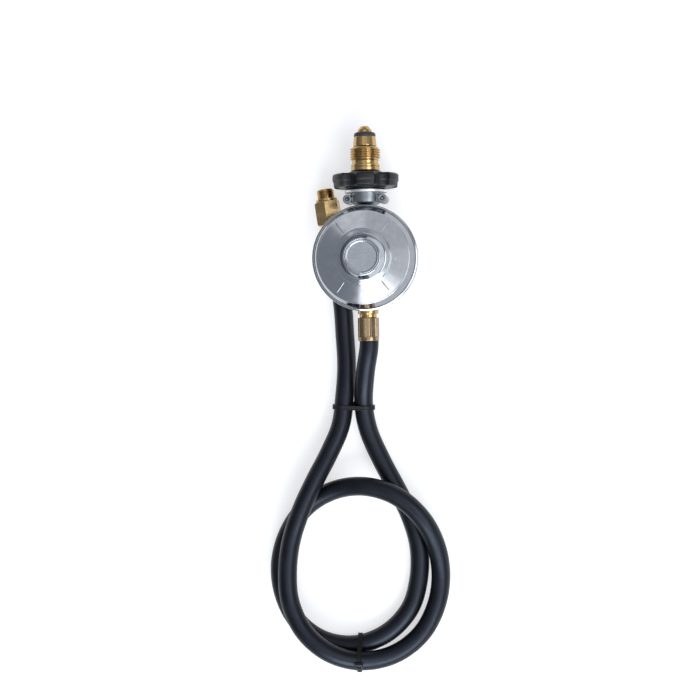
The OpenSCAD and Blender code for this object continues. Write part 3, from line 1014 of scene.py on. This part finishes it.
@dataclass
class Hose:
    """The rubber hose, crimped into a ferrule at each end. Sizes in millimetres."""

    diameter: float = 14.0
    ferrule_length: float = 17.0
    ferrule_wall: float = 1.0
    outlet_mouth: float = -78.8
    straight: Span = (6.0, -5.0)
    sides: int = 40
    rings_per_point: int = 10

    def route(self) -> list[Vector]:
        """Gives the route's points, in millimetres, with its straight ends."""
        depth = self.ferrule_length - self.ferrule_wall
        ahead = (ON_FAR.to_3x3() @ Vector((0, 0, 1))).normalized()
        start = [Vector((0, self.outlet_mouth + back, AXIS_Z))
                 for back in (depth, *self.straight)]
        free = [Vector(point) / MM for point in HOSE_FREE]
        end = [Vector(FAR_MOUTH) + along * ahead for along in (-self.diameter, 0.0, depth)]
        return start + free + end

    def point(self, place: float) -> Vector:
        """Gives a point of the smooth curve through the route.

        Args:
            place: how far along it lies, from 0 to the last route point's number.

        Returns:
            The point, in millimetres.
        """
        points = self.route()
        index = min(int(place), len(points) - 2)
        share = place - index
        here, ahead = points[index], points[index + 1]
        back = points[index - 1] if index else 2 * here - ahead
        beyond = points[index + 2] if index + 2 < len(points) else 2 * ahead - here
        return 0.5 * (2 * here + share * (ahead - back)
                      + share**2 * (2 * back - 5 * here + 4 * ahead - beyond)
                      + share**3 * (3 * here - back - 3 * ahead + beyond))

    def ring(self, before: Vector, centre: Vector, after: Vector) -> list[Vector]:
        """Gives the points of one ring of the tube, from its underside round.

        Args:
            before: the centreline's last point.
            centre: the ring's middle.
            after: the centreline's next point.

        Returns:
            The ring's points.
        """
        ahead = (after - before).normalized()
        side = ahead.cross(Vector((0, 0, 1))).normalized()
        up = side.cross(ahead)
        angles = [2 * math.pi * (step / self.sides - 0.25) for step in range(self.sides)]
        return [centre + self.diameter / 2 * (math.cos(angle) * side + math.sin(angle) * up)
                for angle in angles]

    def tube(self, line: list[Vector]) -> bpy.types.Mesh:
        """Sweeps the tube along its centreline, with a map round and along it.

        Args:
            line: the centreline's points.

        Returns:
            The closed tube.
        """
        form = bmesh.new()
        layer = form.loops.layers.uv.new("along_hose")
        ends = zip([line[0]] + line[:-1], line, line[1:] + [line[-1]])
        rings = [[form.verts.new(point) for point in self.ring(*three)] for three in ends]
        travelled = [0.0]
        for before, centre in zip(line, line[1:]):
            travelled.append(travelled[-1] + (centre - before).length)
        for index in range(len(line) - 1):
            for step in range(self.sides):
                beside = (step + 1) % self.sides
                face = form.faces.new((rings[index][step], rings[index + 1][step],
                                       rings[index + 1][beside], rings[index][beside]))
                for loop, (u, v) in zip(face.loops, ((0, 0), (0, 1), (1, 1), (1, 0))):
                    loop[layer].uv = ((step + u) / self.sides, travelled[index + v] * MM)
        form.faces.new(rings[0])
        form.faces.new(list(reversed(rings[-1])))
        bmesh.ops.recalc_face_normals(form, faces=form.faces)
        return kept(form, "hose")

    def build(self) -> tuple[bpy.types.Object, list[Vector]]:
        """Builds the hose, and gives it with its centreline in metres."""
        count = (len(self.route()) - 1) * self.rings_per_point + 1
        line = [self.point(step / self.rings_per_point) for step in range(count)]
        made = piece("hose_tube", self.tube(line), HOSE_RUBBER, Body.REGULATOR, "hose", sharp=60.0)
        return made, [centre * MM for centre in line]


@dataclass
class CableTie:
    """A nylon tie round two strands, with its locking head. Sizes in millimetres.

    The places are where it crosses the hose's curve. The head stands off the middle of the
    band, or off one strand where head_side is 1 or -1, turned about the hose by head_turn.
    """

    name: str
    places: Span
    head_side: float
    head_turn: float
    head_height: float
    width: float = 3.2
    thickness: float = 1.2
    slack: float = 0.2
    groove: float = 0.3
    edge: float = 0.55
    arc_steps: int = 20
    tooth_pitch: float = 1.0
    tooth: Span = (0.35, 0.3)
    head_half: Span = (2.4, 2.9)
    slot_half: Span = (0.7, 1.7)
    slot_floor: float = 1.3
    sunk: float = 0.2

    def frame(self, hose: Hose) -> tuple[Matrix, float]:
        """Finds where the tie lies.

        Args:
            hose: the hose that it goes round.

        Returns:
            Its local frame, with X from strand to strand, and half the strands' distance.
        """
        first, second = hose.point(self.places[0]), hose.point(self.places[1])
        ahead, beside = ((hose.point(place + 0.1) - hose.point(place)).normalized()
                         for place in self.places)
        strand = ahead + math.copysign(1.0, ahead.dot(beside)) * beside
        across = (second - first).normalized()
        up = strand.cross(across).normalized()
        if up.z < 0:
            up = -up
        side = across.cross(up)
        turn = Matrix((across, up, side)).transposed().to_4x4()
        return Matrix.Translation((first + second) / 2) @ turn, (second - first).length / 2

    def loop(self, radius: float, half: float) -> list[Vector]:
        """Draws a round-ended loop about the two strands.

        Args:
            radius: its distance from the strands' middles.
            half: half the distance between these.

        Returns:
            The loop's points in the tie's local frame.
        """
        points = []
        for end, start in ((1, -90), (-1, 90)):
            for step in range(self.arc_steps + 1):
                angle = math.radians(start + 180 * step / self.arc_steps)
                points.append(Vector((end * half + radius * math.cos(angle),
                                      radius * math.sin(angle), 0)))
        return points

    def band(self, inner: float, half: float) -> bpy.types.Mesh:
        """Sweeps the band's grooved section round its loop.

        Args:
            inner: the band's distance from the strands' middles.
            half: half the distance between these.

        Returns:
            The band.
        """
        side, top, floor = self.width / 2, self.thickness, self.thickness - self.groove
        rail = side - self.edge
        flank = rail - self.groove / 2
        section = eased([
            (-side, 0.0), (-side, top), (-rail, top), (-flank, floor), (flank, floor),
            (rail, top), (side, top), (side, 0.0),
        ], 0.18, 2)
        form = bmesh.new()
        rows = []
        for along, rise in section:
            ring = self.loop(inner + rise, half)
            rows.append([form.verts.new((point.x, point.y, along)) for point in ring])
        for index, row in enumerate(rows):
            beside = rows[(index + 1) % len(rows)]
            for step in range(len(row)):
                after = (step + 1) % len(row)
                form.faces.new((row[step], row[after], beside[after], beside[step]))
        return closed(form)

    def teeth(self, inner: float, half: float) -> bpy.types.Mesh:
        """Grows the small bars that the pawl locks into, all round the band.

        Args:
            inner: the band's distance from the strands' middles.
            half: half the distance between these.

        Returns:
            The bars.
        """
        growth = Growth("tie_teeth")
        path = growth.size("Path", "NodeSocketGeometry")
        pitch, bar = growth.size("Pitch"), growth.size("Bar", "NodeSocketVector")
        curve = growth.node("GeometryNodeMeshToCurve", {"Mesh": path})
        spaced = growth.node("GeometryNodeResampleCurve", {
            "Curve": curve.outputs[0], "Length": pitch,
        }, mode="LENGTH")
        tangent = growth.node("GeometryNodeInputTangent")
        turn = growth.node("FunctionNodeAlignRotationToVector", {"Vector": tangent.outputs[0]},
                           axis="X", pivot_axis="Z")
        cube = growth.node("GeometryNodeMeshCube", {"Size": bar})
        bars = growth.node("GeometryNodeInstanceOnPoints", {
            "Points": spaced.outputs[0], "Instance": cube.outputs[0],
            "Rotation": turn.outputs[0],
        })
        growth.close(bars.outputs[0])
        form = bmesh.new()
        verts = [form.verts.new(point)
                 for point in self.loop(inner + self.thickness - self.groove, half)]
        for index, vert in enumerate(verts):
            form.edges.new((vert, verts[(index + 1) % len(verts)]))
        return growth.grow(TIE_NYLON.material(), kept(form, "path"), Pitch=self.tooth_pitch,
                           Bar=(*self.tooth, self.width / 2))

    def head(self) -> bpy.types.Mesh:
        """Makes the locking head with its slot and pawl, standing on local Y."""
        top = self.head_height
        (out_x, out_z), (in_x, in_z) = self.head_half, self.slot_half
        shell = worked(block((-out_x, 0, -out_z), (out_x, top, out_z)),
                       ("BEVEL", {"width": 0.5, "segments": 3}))
        slot = block((-in_x, self.slot_floor, -in_z), (in_x, top + 1, in_z))
        pawl = block((-0.5, self.slot_floor - 0.1, 0.4 - in_z), (0.15, top - 0.5, in_z - 0.4))
        pawl = worked(pawl, ("BEVEL", {"width": 0.15, "segments": 2}))
        return joined([cut(shell, slot), pawl])

    def build(self, hose: Hose, node: str) -> bpy.types.Object:
        """Builds the tie.

        Args:
            hose: the hose that it goes round.
            node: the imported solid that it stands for.

        Returns:
            The tie.
        """
        place, half = self.frame(hose)
        inner = hose.diameter / 2 + self.slack
        stand = (Matrix.Translation((self.head_side * half, 0, 0))
                 @ Matrix.Rotation(math.radians(self.head_turn), 4, "Z")
                 @ Matrix.Translation((0, inner + self.thickness - self.sunk, 0)))
        mesh = joined([self.band(inner, half), self.teeth(inner, half),
                       moved(self.head(), stand)])
        return piece(self.name, mesh, TIE_NYLON, Body.REGULATOR, node, place=place)


# ---- Threads ----


@dataclass(frozen=True)
class Thread:
    """A helical thread ridge on a plain core. Sizes in millimetres.

    The ridge's section is given in shares of the thread's depth and of half its width.
    """

    major: float
    core: float
    pitch: float
    hand: Hand
    start: float
    end: float
    half_width: float = 0.46
    crest: Span = (1.0, 0.2)
    root: Span = (-0.3, 1.1)
    run_outs_per_turn: float = 3.0
    thinnest: float = 0.05

    def mesh(self, finish: Finish) -> bpy.types.Mesh:
        """Grows the ridge along local Z, thinned out at both ends.

        Args:
            finish: the finish that it takes.

        Returns:
            The ridge.
        """
        growth = Growth("thread")
        radius, pitch, turns = growth.sizes("Radius", "Pitch", "Turns")
        depth, flank = growth.sizes("Depth", "Flank")
        spiral = growth.spiral(64, turns, radius, growth.maths("MULTIPLY", pitch, turns),
                               growth.size("Right Hand", "NodeSocketBool"))
        share = growth.node("GeometryNodeSplineParameter").outputs["Factor"]
        rest = growth.maths("SUBTRACT", 1.0, share)
        rise, fall = (
            growth.maths("MULTIPLY", growth.maths("MULTIPLY", part, turns), self.run_outs_per_turn)
            for part in (share, rest)
        )
        both = growth.maths("MINIMUM", rise, fall)
        taper = growth.maths("MAXIMUM", growth.maths("MINIMUM", both, 1.0), self.thinnest)
        upright = growth.node("GeometryNodeSetCurveNormal", {"Curve": spiral}, mode="Z_UP")
        (high, narrow), (low, wide) = self.crest, self.root
        shares = ((high, narrow), (high, -narrow), (low, -wide), (low, wide))
        section = growth.node("GeometryNodeCurvePrimitiveQuadrilateral", {
            f"Point {number}": growth.node("ShaderNodeCombineXYZ", {
                0: growth.maths("MULTIPLY", depth, out), 1: growth.maths("MULTIPLY", flank, along),
            }).outputs[0]
            for number, (out, along) in enumerate(shares, 1)
        }, mode="POINTS")
        growth.close(growth.swept(upright.outputs[0], section.outputs[0], taper))
        length = self.end - self.start
        mesh = growth.grow(
            finish.material(), Radius=self.core, Pitch=self.pitch,
            Turns=length / self.pitch, Right_Hand=self.hand is Hand.RIGHT,
            Depth=self.hand.value * (self.major - self.core),
            Flank=self.half_width * self.pitch)
        return moved(mesh, Matrix.Translation((0, 0, self.start)))


# ---- Inlet ----


@dataclass
class Inlet:
    """Nipple with its nose and seal, and the handwheel on the left-hand bottle nut.

    Outlines are corners as station and radius, in millimetres.
    """

    bore: float = 2.0
    stem: float = 5.9
    nose: float = 8.6
    nut_bore: float = 5.98
    hub: float = 9.42
    thread: Thread = Thread(11.24, 10.13, 1.814, Hand.LEFT, 72.1, 81.1)
    wheel: float = 25.0
    rim_step: float = 0.8
    web: float = 16.0
    lobes: int = 6
    wheel_turn: float = 7.0
    scoop: float = 7.0
    scoop_out: float = 27.0

    def build(self) -> None:
        """Builds the nipple, seal, nut and wheel."""
        nipple = turned(eased([
            (40.5, self.bore), (40.5, 8.2), (49.6, 8.2), (49.6, self.stem), (82, self.stem),
            (82, self.nose - 0.5), (82.5, self.nose), (89, 8.1), (89.4, 7.8), (89.4, 6.1),
            (92.8, 5.4), (94.4, 5.0), (95.7, 4.0), (97, 2.9), (97, 2.6), (90, 2.6),
            (90, self.bore),
        ], 0.35))
        piece("nipple", nipple, BRASS, Body.REGULATOR, "inlet_nipple", place=ON_INLET)
        seal = turned(eased([
            (89.45, 6.15), (89.45, 7.9), (90.2, 8.05), (91.8, 7.7), (92.55, 6.6),
            (92.75, 5.5),
        ], 0.4))
        piece("seal_ring", seal, SEAL_RUBBER, Body.REGULATOR, "nose_seal", place=ON_INLET)
        core = self.thread.core
        nut = turned(eased([
            (50.4, self.nut_bore), (50.4, 9.4), (64.1, 9.4), (64.1, 10.2), (64.5, 10.6),
            (66.7, 10.6), (66.8, 10.3), (67.2, 10.3), (67.3, 10.6), (68.8, 10.6),
            (69.2, 10.2), (69.2, 9.7), (71.3, 9.7), (71.8, core), (81, core),
            (81.6, core - 0.7), (81.6, self.nut_bore),
        ], 0.3))
        parts = joined([nut, self.thread.mesh(BRASS)])
        piece("bottle_nut", parts, BRASS, Body.HAND_NUT, "pol_nut", place=ON_INLET)
        piece("hand_wheel", self.wheel_mesh(), WHEEL_PLASTIC, Body.HAND_NUT, "handwheel",
              place=ON_INLET, sharp=50.0)

    def lobe(self, station: float, radius: float, degrees: float) -> float:
        """Draws the wheel's rim in between its lobes.

        Args:
            station: unused, as the rim is the same all along.
            radius: the outline's radius.
            degrees: the angle round the wheel.

        Returns:
            The radius with the scoops taken out.
        """
        if radius <= self.web:
            return radius
        spacing = 360 / self.lobes
        top = -90 + self.wheel_turn
        off = (degrees - top + spacing / 2) % spacing - spacing / 2
        from_valley = math.radians(spacing / 2 - abs(off))
        half_chord = self.scoop_out * math.sin(from_valley)
        rim = self.wheel
        if half_chord < self.scoop:
            reach = self.scoop_out * math.cos(from_valley)
            rim = min(rim, reach - math.sqrt(self.scoop**2 - half_chord**2))
        return self.web + (radius - self.web) * (rim - self.web) / (self.wheel - self.web)

    def wheel_mesh(self) -> bpy.types.Mesh:
        """Makes the lobed wheel."""
        rim = self.wheel
        outline = eased([
            (50.8, self.hub), (50.8, 14.5), (52, 14.5), (52, 23), (52.8, rim - self.rim_step),
            (56.2, rim - self.rim_step), (56.8, rim), (60.6, rim),
            (61.8, rim - 1.4), (61.8, 14), (62.6, 13.2), (63.9, 11.4), (63.9, self.hub),
        ], 0.7, 4)
        return turned(finer(outline, 2.5), 360, self.lobe, -90.0)


# ---- Regulator ----


@dataclass
class Regulator:
    """Cast body, dish cover with its ribs and tower, and the cap in the tower.

    Heights count from the surface and outlines are corners as height and radius, in millimetres.
    """

    floor_z: float = 14.3
    lip: float = 38.8
    lip_z: float = 33.3
    flange: float = 37.2
    dish: float = 33.9
    dish_z: float = 49.8
    cover_z: float = 38.1
    step: float = 20.6
    foot: float = 16.3
    tower: float = 13.4
    tower_z: float = 56.6
    cap: float = 12.3
    wall: float = 1.8
    cone_rise: float = 1.5
    spring_room: float = 13.6
    plug: float = 11.15
    play: float = 0.05
    vent: Span = (23.5, 1.3)
    vent_turn: float = -6.0
    rib: float = 0.48
    rib_angles: Span = (52.5, 75.0)
    neck: float = 7.9
    neck_end: float = 50.0
    neck_flange: float = 15.5
    ear: Span = (5.6, 2.5)
    voxel: float = 0.5

    @property
    def flange_z(self) -> float:
        """Underside of the body's flange."""
        return self.lip_z + 1.1

    @property
    def cone_z(self) -> float:
        """Foot of the step ring, at the top of the cone."""
        return self.dish_z + self.cone_rise

    def build(self) -> None:
        """Builds the casting, the flange on its neck, the cover and the cap."""
        piece("casting", self.casting(), BODY_ZINC, Body.REGULATOR, "body_casting")
        piece("neck_flange", self.neck_ring(), FLANGE_ZINC_AND_HIGHLIGHT, Body.REGULATOR, place=ON_INLET)
        cover = joined([self.cover_shell(), self.ribs()])
        piece("dish_cover", cover, COVER_ZINC, Body.REGULATOR, "cover", place=ON_DISH)
        top = self.tower_z
        cap = turned(eased([
            (top - 2.5, 0), (top - 2.5, self.cap), (top - 0.2, self.cap),
            (top - 0.2, self.cap - 1), (top - 0.7, self.cap - 1.5), (top - 0.7, 0),
        ], 0.3))
        piece("cap", cap, CAP_ZINC, Body.REGULATOR, "tower_cap", place=ON_DISH)

    def casting(self) -> bpy.types.Mesh:
        """Makes the body from cast forms that are melted together."""
        seat_z = self.flange_z + 2.4
        bowl = turned([
            (self.floor_z, 0), (self.floor_z, 16), (16.5, 19), (20.5, 23), (25.5, 31),
            (30, 33), (self.flange_z, 34), (self.flange_z, self.flange), (seat_z, self.flange),
            (seat_z, 32), (30.5, 31), (27, 29), (23.2, 21.5), (19.5, 17.5), (17.5, 14),
            (17.5, 0),
        ], 160)
        front = self.neck_end - 0.6
        neck = turned([(20, 0), (20, self.neck), (39.7, self.neck), (39.7, 9.5), (41, 11),
                       (front, 11), (front, 0)], 96)
        boss = turned([(20, 0), (20, 7.8), (38, 7.8), (38, 0)], 96)
        parts = [moved(bowl, ON_DISH), moved(neck, ON_INLET), moved(boss, ON_OUTLET)]
        ear_x, ear_width = self.ear
        for side in (-1, 1):
            middle = Vector((side * 12.8, DISH_Y + 43.4, 0))
            lug = turned([(17, 0), (17, 3.4), (33.5, 3.4), (33.5, 1.4), (31, 1.4), (31, 0)], 48)
            web = block((min(0, -side * 6), -2.5, 18.5), (max(0, -side * 6), 2.5, 31.5))
            parts += [moved(part, Matrix.Translation(middle)) for part in (lug, web)]
            ear = block((side * ear_x - ear_width / 2, 10.6, 16),
                        (side * ear_x + ear_width / 2, 15.4, 22.4))
            parts.append(moved(ear, ON_DISH))
        return worked(
            joined(parts),
            ("REMESH", {"mode": "VOXEL", "voxel_size": self.voxel}),
            ("SMOOTH", {"factor": 0.5, "iterations": 5}),
        )

    def neck_ring(self) -> bpy.types.Mesh:
        """Turns the flange on the end of the neck, whose near-white finish is partly a turned face
        and partly a painted highlight.
        """
        face = self.neck_end
        return turned(eased([
            (face - 1.9, 10), (face - 1.9, self.neck_flange), (face, self.neck_flange),
            (face, 8.3), (face - 1.7, 8.3),
        ], 0.3))

    def cover_shell(self) -> bpy.types.Mesh:
        """Turns the cover's shell and drills its vent."""
        lip_top, rim_z = self.cover_z + 0.2, self.flange_z - self.play
        cone_z, step_z = self.cone_z, self.cone_z + 1
        plug_z, cap_z = self.dish_z - 0.7, self.tower_z - 2.6
        outline = eased([
            (self.lip_z, 36), (self.lip_z, self.lip), (lip_top + 0.6, self.lip),
            (lip_top + 1, self.lip - 1.5), (self.dish_z, self.dish + 0.1),
            (self.dish_z, self.dish - 1.2), (cone_z, self.step + 0.1),
            (cone_z + 0.45, self.step - 0.3), (step_z, self.foot + 0.4),
            (self.tower_z, self.tower), (self.tower_z, self.cap + self.play),
            (cap_z, self.cap + self.play), (cap_z, self.plug), (plug_z, self.plug),
            (plug_z, self.spring_room), (cone_z - self.wall, self.spring_room),
            (self.dish_z - self.wall, self.dish - 3), (self.dish_z - 2.6, self.dish - 1.4),
            (lip_top + 0.9, self.lip - 3.6), (self.cover_z, self.lip - 4.4),
            (self.cover_z, self.flange + self.play), (rim_z, self.flange + self.play),
            (rim_z, 36),
        ], 0.7, 4)
        vent_out, vent_radius = self.vent
        drill = moved(rod(self.dish_z - 4, self.dish_z + 6, vent_radius),
                      Matrix.Rotation(math.radians(self.vent_turn), 4, "Z")
                      @ Matrix.Translation((vent_out, 0, 0)))
        return cut(turned(outline, 240), drill)

    def ribs(self) -> bpy.types.Mesh:
        """Grows the four thin ribs on the cone, two and two."""
        growth = Growth("cone_ribs")
        inner, outer = (growth.size(name, "NodeSocketVector") for name in ("Inner", "Outer"))
        thick, first, between = growth.sizes("Thickness", "First Angle", "Angle Between")
        line = growth.node("GeometryNodeCurvePrimitiveLine", {"Start": inner, "End": outer})
        fine = growth.node("GeometryNodeResampleCurve", {"Curve": line.outputs[0], "Count": 12})
        share = growth.node("GeometryNodeSplineParameter").outputs["Factor"]
        offset = growth.maths("SUBTRACT", growth.maths("MULTIPLY", share, 2.0), 1.0)
        bend = growth.maths("POWER", growth.maths("ABSOLUTE", offset), 6.0)
        slim = growth.maths("SUBTRACT", 1.0, growth.maths("MULTIPLY", bend, 0.7))
        rib = growth.swept(fine.outputs[0], growth.circle(10, thick), slim)
        spots = growth.node("GeometryNodeMeshLine", {"Count": 4, "Offset": (0.0, 0.0, 0.0)})
        index = growth.node("GeometryNodeInputIndex").outputs[0]
        odd = growth.maths("MODULO", index, 2.0)
        half = growth.maths("FLOOR", growth.maths("DIVIDE", index, 2.0))
        angle = growth.maths("ADD", first, growth.maths("MULTIPLY", odd, between))
        turn = growth.maths("ADD", angle, growth.maths("MULTIPLY", half, math.pi))
        around = growth.node("ShaderNodeCombineXYZ", {2: turn})
        ribs = growth.node("GeometryNodeInstanceOnPoints", {
            "Points": spots.outputs[0], "Instance": rib, "Rotation": around.outputs[0],
        })
        growth.close(ribs.outputs[0])
        first_angle, angle_between = self.rib_angles
        return growth.grow(
            COVER_ZINC.material(), Inner=(self.step + 1.2, 0.0, self.cone_z - 0.05),
            Outer=(self.dish - 2.2, 0.0, self.dish_z + 0.05), Thickness=self.rib,
            First_Angle=math.radians(first_angle), Angle_Between=math.radians(angle_between))


# ---- Fittings on the hose ----


@dataclass
class Crimp:
    """Brass ferrule with its pressed flats, a plain collar left at its mouth.

    Sizes are in millimetres, and the marks' places and widths in degrees from a ridge.
    """

    radius: float = 7.65
    length: float = 17.0
    flats: int = 10
    ridge_at: float = -105.0
    pressed: float = 0.3
    collar: float = 2.4
    hole: float = 7.05
    tail_hole: float = 4.95
    ridge: float = 0.08
    ridge_width: float = 3.0
    groove: float = 0.16
    groove_at: float = -7.0
    groove_width: float = 2.4

    def pressing(self, station: float, radius: float, degrees: float) -> float:
        """Presses the flats and the jaws' marks into the sleeve beyond its collar.

        Args:
            station: the distance from the mouth.
            radius: the outline's radius.
            degrees: the angle round the sleeve.

        Returns:
            The pressed radius.
        """
        start, end = self.collar, self.length
        if radius < self.radius - 1.0 or station < start:
            return radius
        spacing = 360 / self.flats
        off = (degrees - self.ridge_at + spacing / 2) % spacing - spacing / 2
        flat = (self.radius - self.pressed) / math.cos(math.radians(spacing / 2 - abs(off)))
        ridge = self.ridge * math.exp(-((off / self.ridge_width) ** 2))
        groove = self.groove * math.exp(-(((off - self.groove_at) / self.groove_width) ** 2))
        share = min(1.0, (station - start) / 0.7)
        fade = min(1.0, max(0.0, (end - station) / 0.8))
        shaped = min(flat, self.radius + 0.05) + (ridge - groove) * fade
        return radius + (shaped - self.radius) * share

    def mesh(self) -> bpy.types.Mesh:
        """Makes the ferrule along local Z from its mouth."""
        end, inside = self.length, self.length - 1
        outline = eased([
            (0, self.hole), (0, self.radius), (end, self.radius), (end, self.tail_hole),
            (inside, self.tail_hole), (inside, self.hole),
        ], 0.35)
        return turned(finer(outline, 0.35), 240, self.pressing, self.ridge_at)


@dataclass
class OutletEnd:
    """Tail screwed into the outlet, and the ferrule that holds the hose on it."""

    crimp: Crimp = field(default_factory=Crimp)
    ferrule_back: float = 43.3

    def build(self) -> None:
        """Builds the tail and the ferrule."""
        tail = turned(eased([
            (30.5, 2.6), (30.5, 5.4), (38.05, 5.4), (38.05, 7.6), (40.4, 7.6), (40.9, 6.3),
            (43.2, 6.3), (43.2, 4.9), (44.4, 4.9), (44.4, 3.9), (47, 3.9), (49, 3.6),
            (49.1, 3.95), (52, 3.6), (52.1, 3.95), (56, 3.5), (56, 2.6),
        ], 0.25))
        piece("tail", tail, BRASS, Body.REGULATOR, "outlet_tail", place=ON_OUTLET)
        mouth = Matrix.Translation((0, 0, -self.ferrule_back - self.crimp.length))
        piece("ferrule", self.crimp.mesh(), CRIMPED_BRASS_AND_SHADE, Body.REGULATOR, "outlet_ferrule",
              place=ON_INLET @ mouth)


@dataclass
class FarEnd:
    """Flare tail and ferrule, the swivel nut on the tail, and its adaptor."""

    crimp: Crimp = field(default_factory=Crimp)
    nut_back: float = 21.9
    nut_length: float = 18.0
    across_flats: float = 17.0
    nut_turn: float = 26.0
    nut_hole: float = 5.08
    play: float = 0.05
    bsp: Thread = Thread(6.58, 5.8, 1.337, Hand.RIGHT, 41.9, 48.4)

    def hexagon(self, station: float, radius: float, degrees: float) -> float:
        """Cuts a round bar back to the nearest of six flats.

        Args:
            station: unused, as the flats run all along.
            radius: the outline's radius, where the bore's stay as they are.
            degrees: the angle round the bar.

        Returns:
            The radius of the hexagon.
        """
        if radius < 0.45 * self.across_flats:
            return radius
        off = (degrees - self.nut_turn) % 60 - 30
        return min(radius, self.across_flats / 2 / math.cos(math.radians(off)) - self.play)

    def build(self) -> list[bpy.types.Object]:
        """Builds the far fitting, and gives its pieces."""
        back, front = self.nut_back, self.nut_back + self.nut_length
        mouth = self.crimp.length
        tail = turned(eased([
            (3, 2.6), (3, 3.5), (7, 3.95), (7.1, 3.6), (10, 3.95), (10.1, 3.6), (12, 3.9),
            (mouth - 1.05, 3.9), (mouth - 1.05, 4.9), (mouth + 0.05, 4.9),
            (mouth + 0.05, 6.2), (mouth + 2.2, 6.2), (mouth + 2.6, 5), (back + 2.6, 5),
            (back + 4.6, 7), (back + 5.2, 7), (back + 8.4, 3.8), (back + 8.4, 2.6),
        ], 0.25))
        made = [piece("far_end_tail", tail, BRASS, Body.REGULATOR, "far_tail", place=ON_FAR),
                piece("far_end_ferrule", self.crimp.mesh(), CRIMPED_BRASS_AND_SHADE, Body.REGULATOR,
                      "far_ferrule", place=ON_FAR)]
        face, corner = 0.48 * self.across_flats, self.across_flats / math.sqrt(3) + 0.3
        nut = turned(finer(eased([
            (back, self.nut_hole), (back, face), (back + 1.3, corner), (front - 1.3, corner),
            (front, face), (front, 7.4), (back + 4.87, 7.4), (back + 2.55, self.nut_hole),
        ], 0.2), 0.3), 240, self.hexagon, self.nut_turn)
        made.append(piece("union_nut", nut, BAR_BRASS, Body.SWIVEL, "swivel_nut",
                          place=ON_FAR, sharp=30.0))
        seat, shoulder = back + 8.8, front + 0.15
        end = self.bsp.end + 0.6
        core = self.bsp.core
        plug = turned(eased([
            (seat, 2.8), (seat, 6.4), (seat + 0.8, 7.2), (shoulder, 7.2),
            (shoulder, 8.0), (shoulder + 1.6, 8.0), (shoulder + 1.6, core), (end - 0.7, core),
            (end, core - 0.6), (end, 2.8),
        ], 0.2))
        parts = joined([plug, self.bsp.mesh(BRASS)])
        made.append(piece("bsp_adaptor", parts, BRASS, Body.SWIVEL, "adaptor", place=ON_FAR))
        return made


# ---- Inner pieces ----


@dataclass
class Works:
    """The diaphragm and its spring, which give as the plate lifts. Sizes in millimetres."""

    under: float = 36.85
    over: float = 38.05
    valley: float = 23.5
    lift: float = 1.5
    spring_low: float = 39.55
    spring_top: float = 49.6
    coil: float = 9.2
    wire: float = 0.9
    turns: float = 5.0

    def build(self) -> None:
        """Builds the diaphragm's middle and rim, and the spring.

        The middle, which reaches from its valley, held by the body, to the plate on the stack, is
        attached to no body.
        """
        under, over = self.under, self.over
        middle = turned(finer([
            (under, 2.5), (under, 18), (under - 1.6, 20), (under - 2.6, self.valley),
            (over - 2.4, self.valley), (over - 1.5, 20.6), (over, 18.6), (over, 2.5),
        ], 1.0))
        centre = piece("diaphragm_middle", middle, SEAL_RUBBER, None, "diaphragm", place=ON_DISH)
        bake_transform(centre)
        rim = turned([
            (under - 2.6, self.valley), (under - 1.6, 27), (under, 29), (under, 37), (over, 37),
            (over, 28.4), (over - 1.5, 26.4), (over - 2.4, self.valley),
        ])
        piece("diaphragm_rim", rim, SEAL_RUBBER, Body.REGULATOR, "diaphragm", place=ON_DISH)
        spring = piece("spring", self.spring(), STEEL, Body.REGULATOR, "main_spring",
                       place=ON_DISH @ Matrix.Translation((0, 0, self.spring_low + self.wire)))
        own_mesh(spring)

    def spring(self) -> bpy.types.Mesh:
        """Winds the main spring from a spiral."""
        growth = Growth("main_spring_coil")
        coil, wire, turns, height = growth.sizes("Coil Radius", "Wire Radius", "Turns", "Height")
        growth.close(growth.swept(growth.spiral(48, turns, coil, height), growth.circle(16, wire)))
        return growth.grow(
            STEEL.material(), Coil_Radius=self.coil, Wire_Radius=self.wire, Turns=self.turns,
            Height=self.spring_top - self.spring_low - 2 * self.wire - 0.05)


INNER_FINISHES: dict[str, Finish] = {
    "inlet_filter": STEEL, "vent_screen": STEEL, "adjusting_plug": BODY_ZINC,
    "diaphragm_plate": STEEL, "diaphragm_stem": BRASS, "lever": STEEL, "lever_pin": STEEL,
    "valve_pad": SEAL_RUBBER, "nozzle": BRASS,
}


def dress_inner_pieces(nodes: dict[str, bpy.types.Object]) -> None:
    """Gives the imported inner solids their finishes.

    Args:
        nodes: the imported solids' objects by name.
    """
    for name, finish in INNER_FINISHES.items():
        mesh = nodes[name].data
        mesh.materials.clear()
        mesh.materials.append(finish.material())
        LOG.info("%s: dressed as %s", name, finish.name)


def main() -> None:
    """Builds the studio and every piece, in order."""
    logging.basicConfig(level=logging.INFO, format="%(message)s")
    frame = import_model()
    Studio().build()
    hose = Hose()
    tube, line = hose.build()
    ties = [
        CableTie("upper_tie", (4.11, 38.63), 0, 180, 2.7).build(hose, "tie_upper"),
        CableTie("lower_tie", (12.88, 29.0), 1, -55, 4.0).build(hose, "tie_lower"),
    ]
    far_pieces = FarEnd().build()
    OutletEnd().build()
    Inlet().build()
    Regulator().build()
    Works().build()
    dress_inner_pieces(frame["nodes"])


if __name__ == "__main__":
    main()
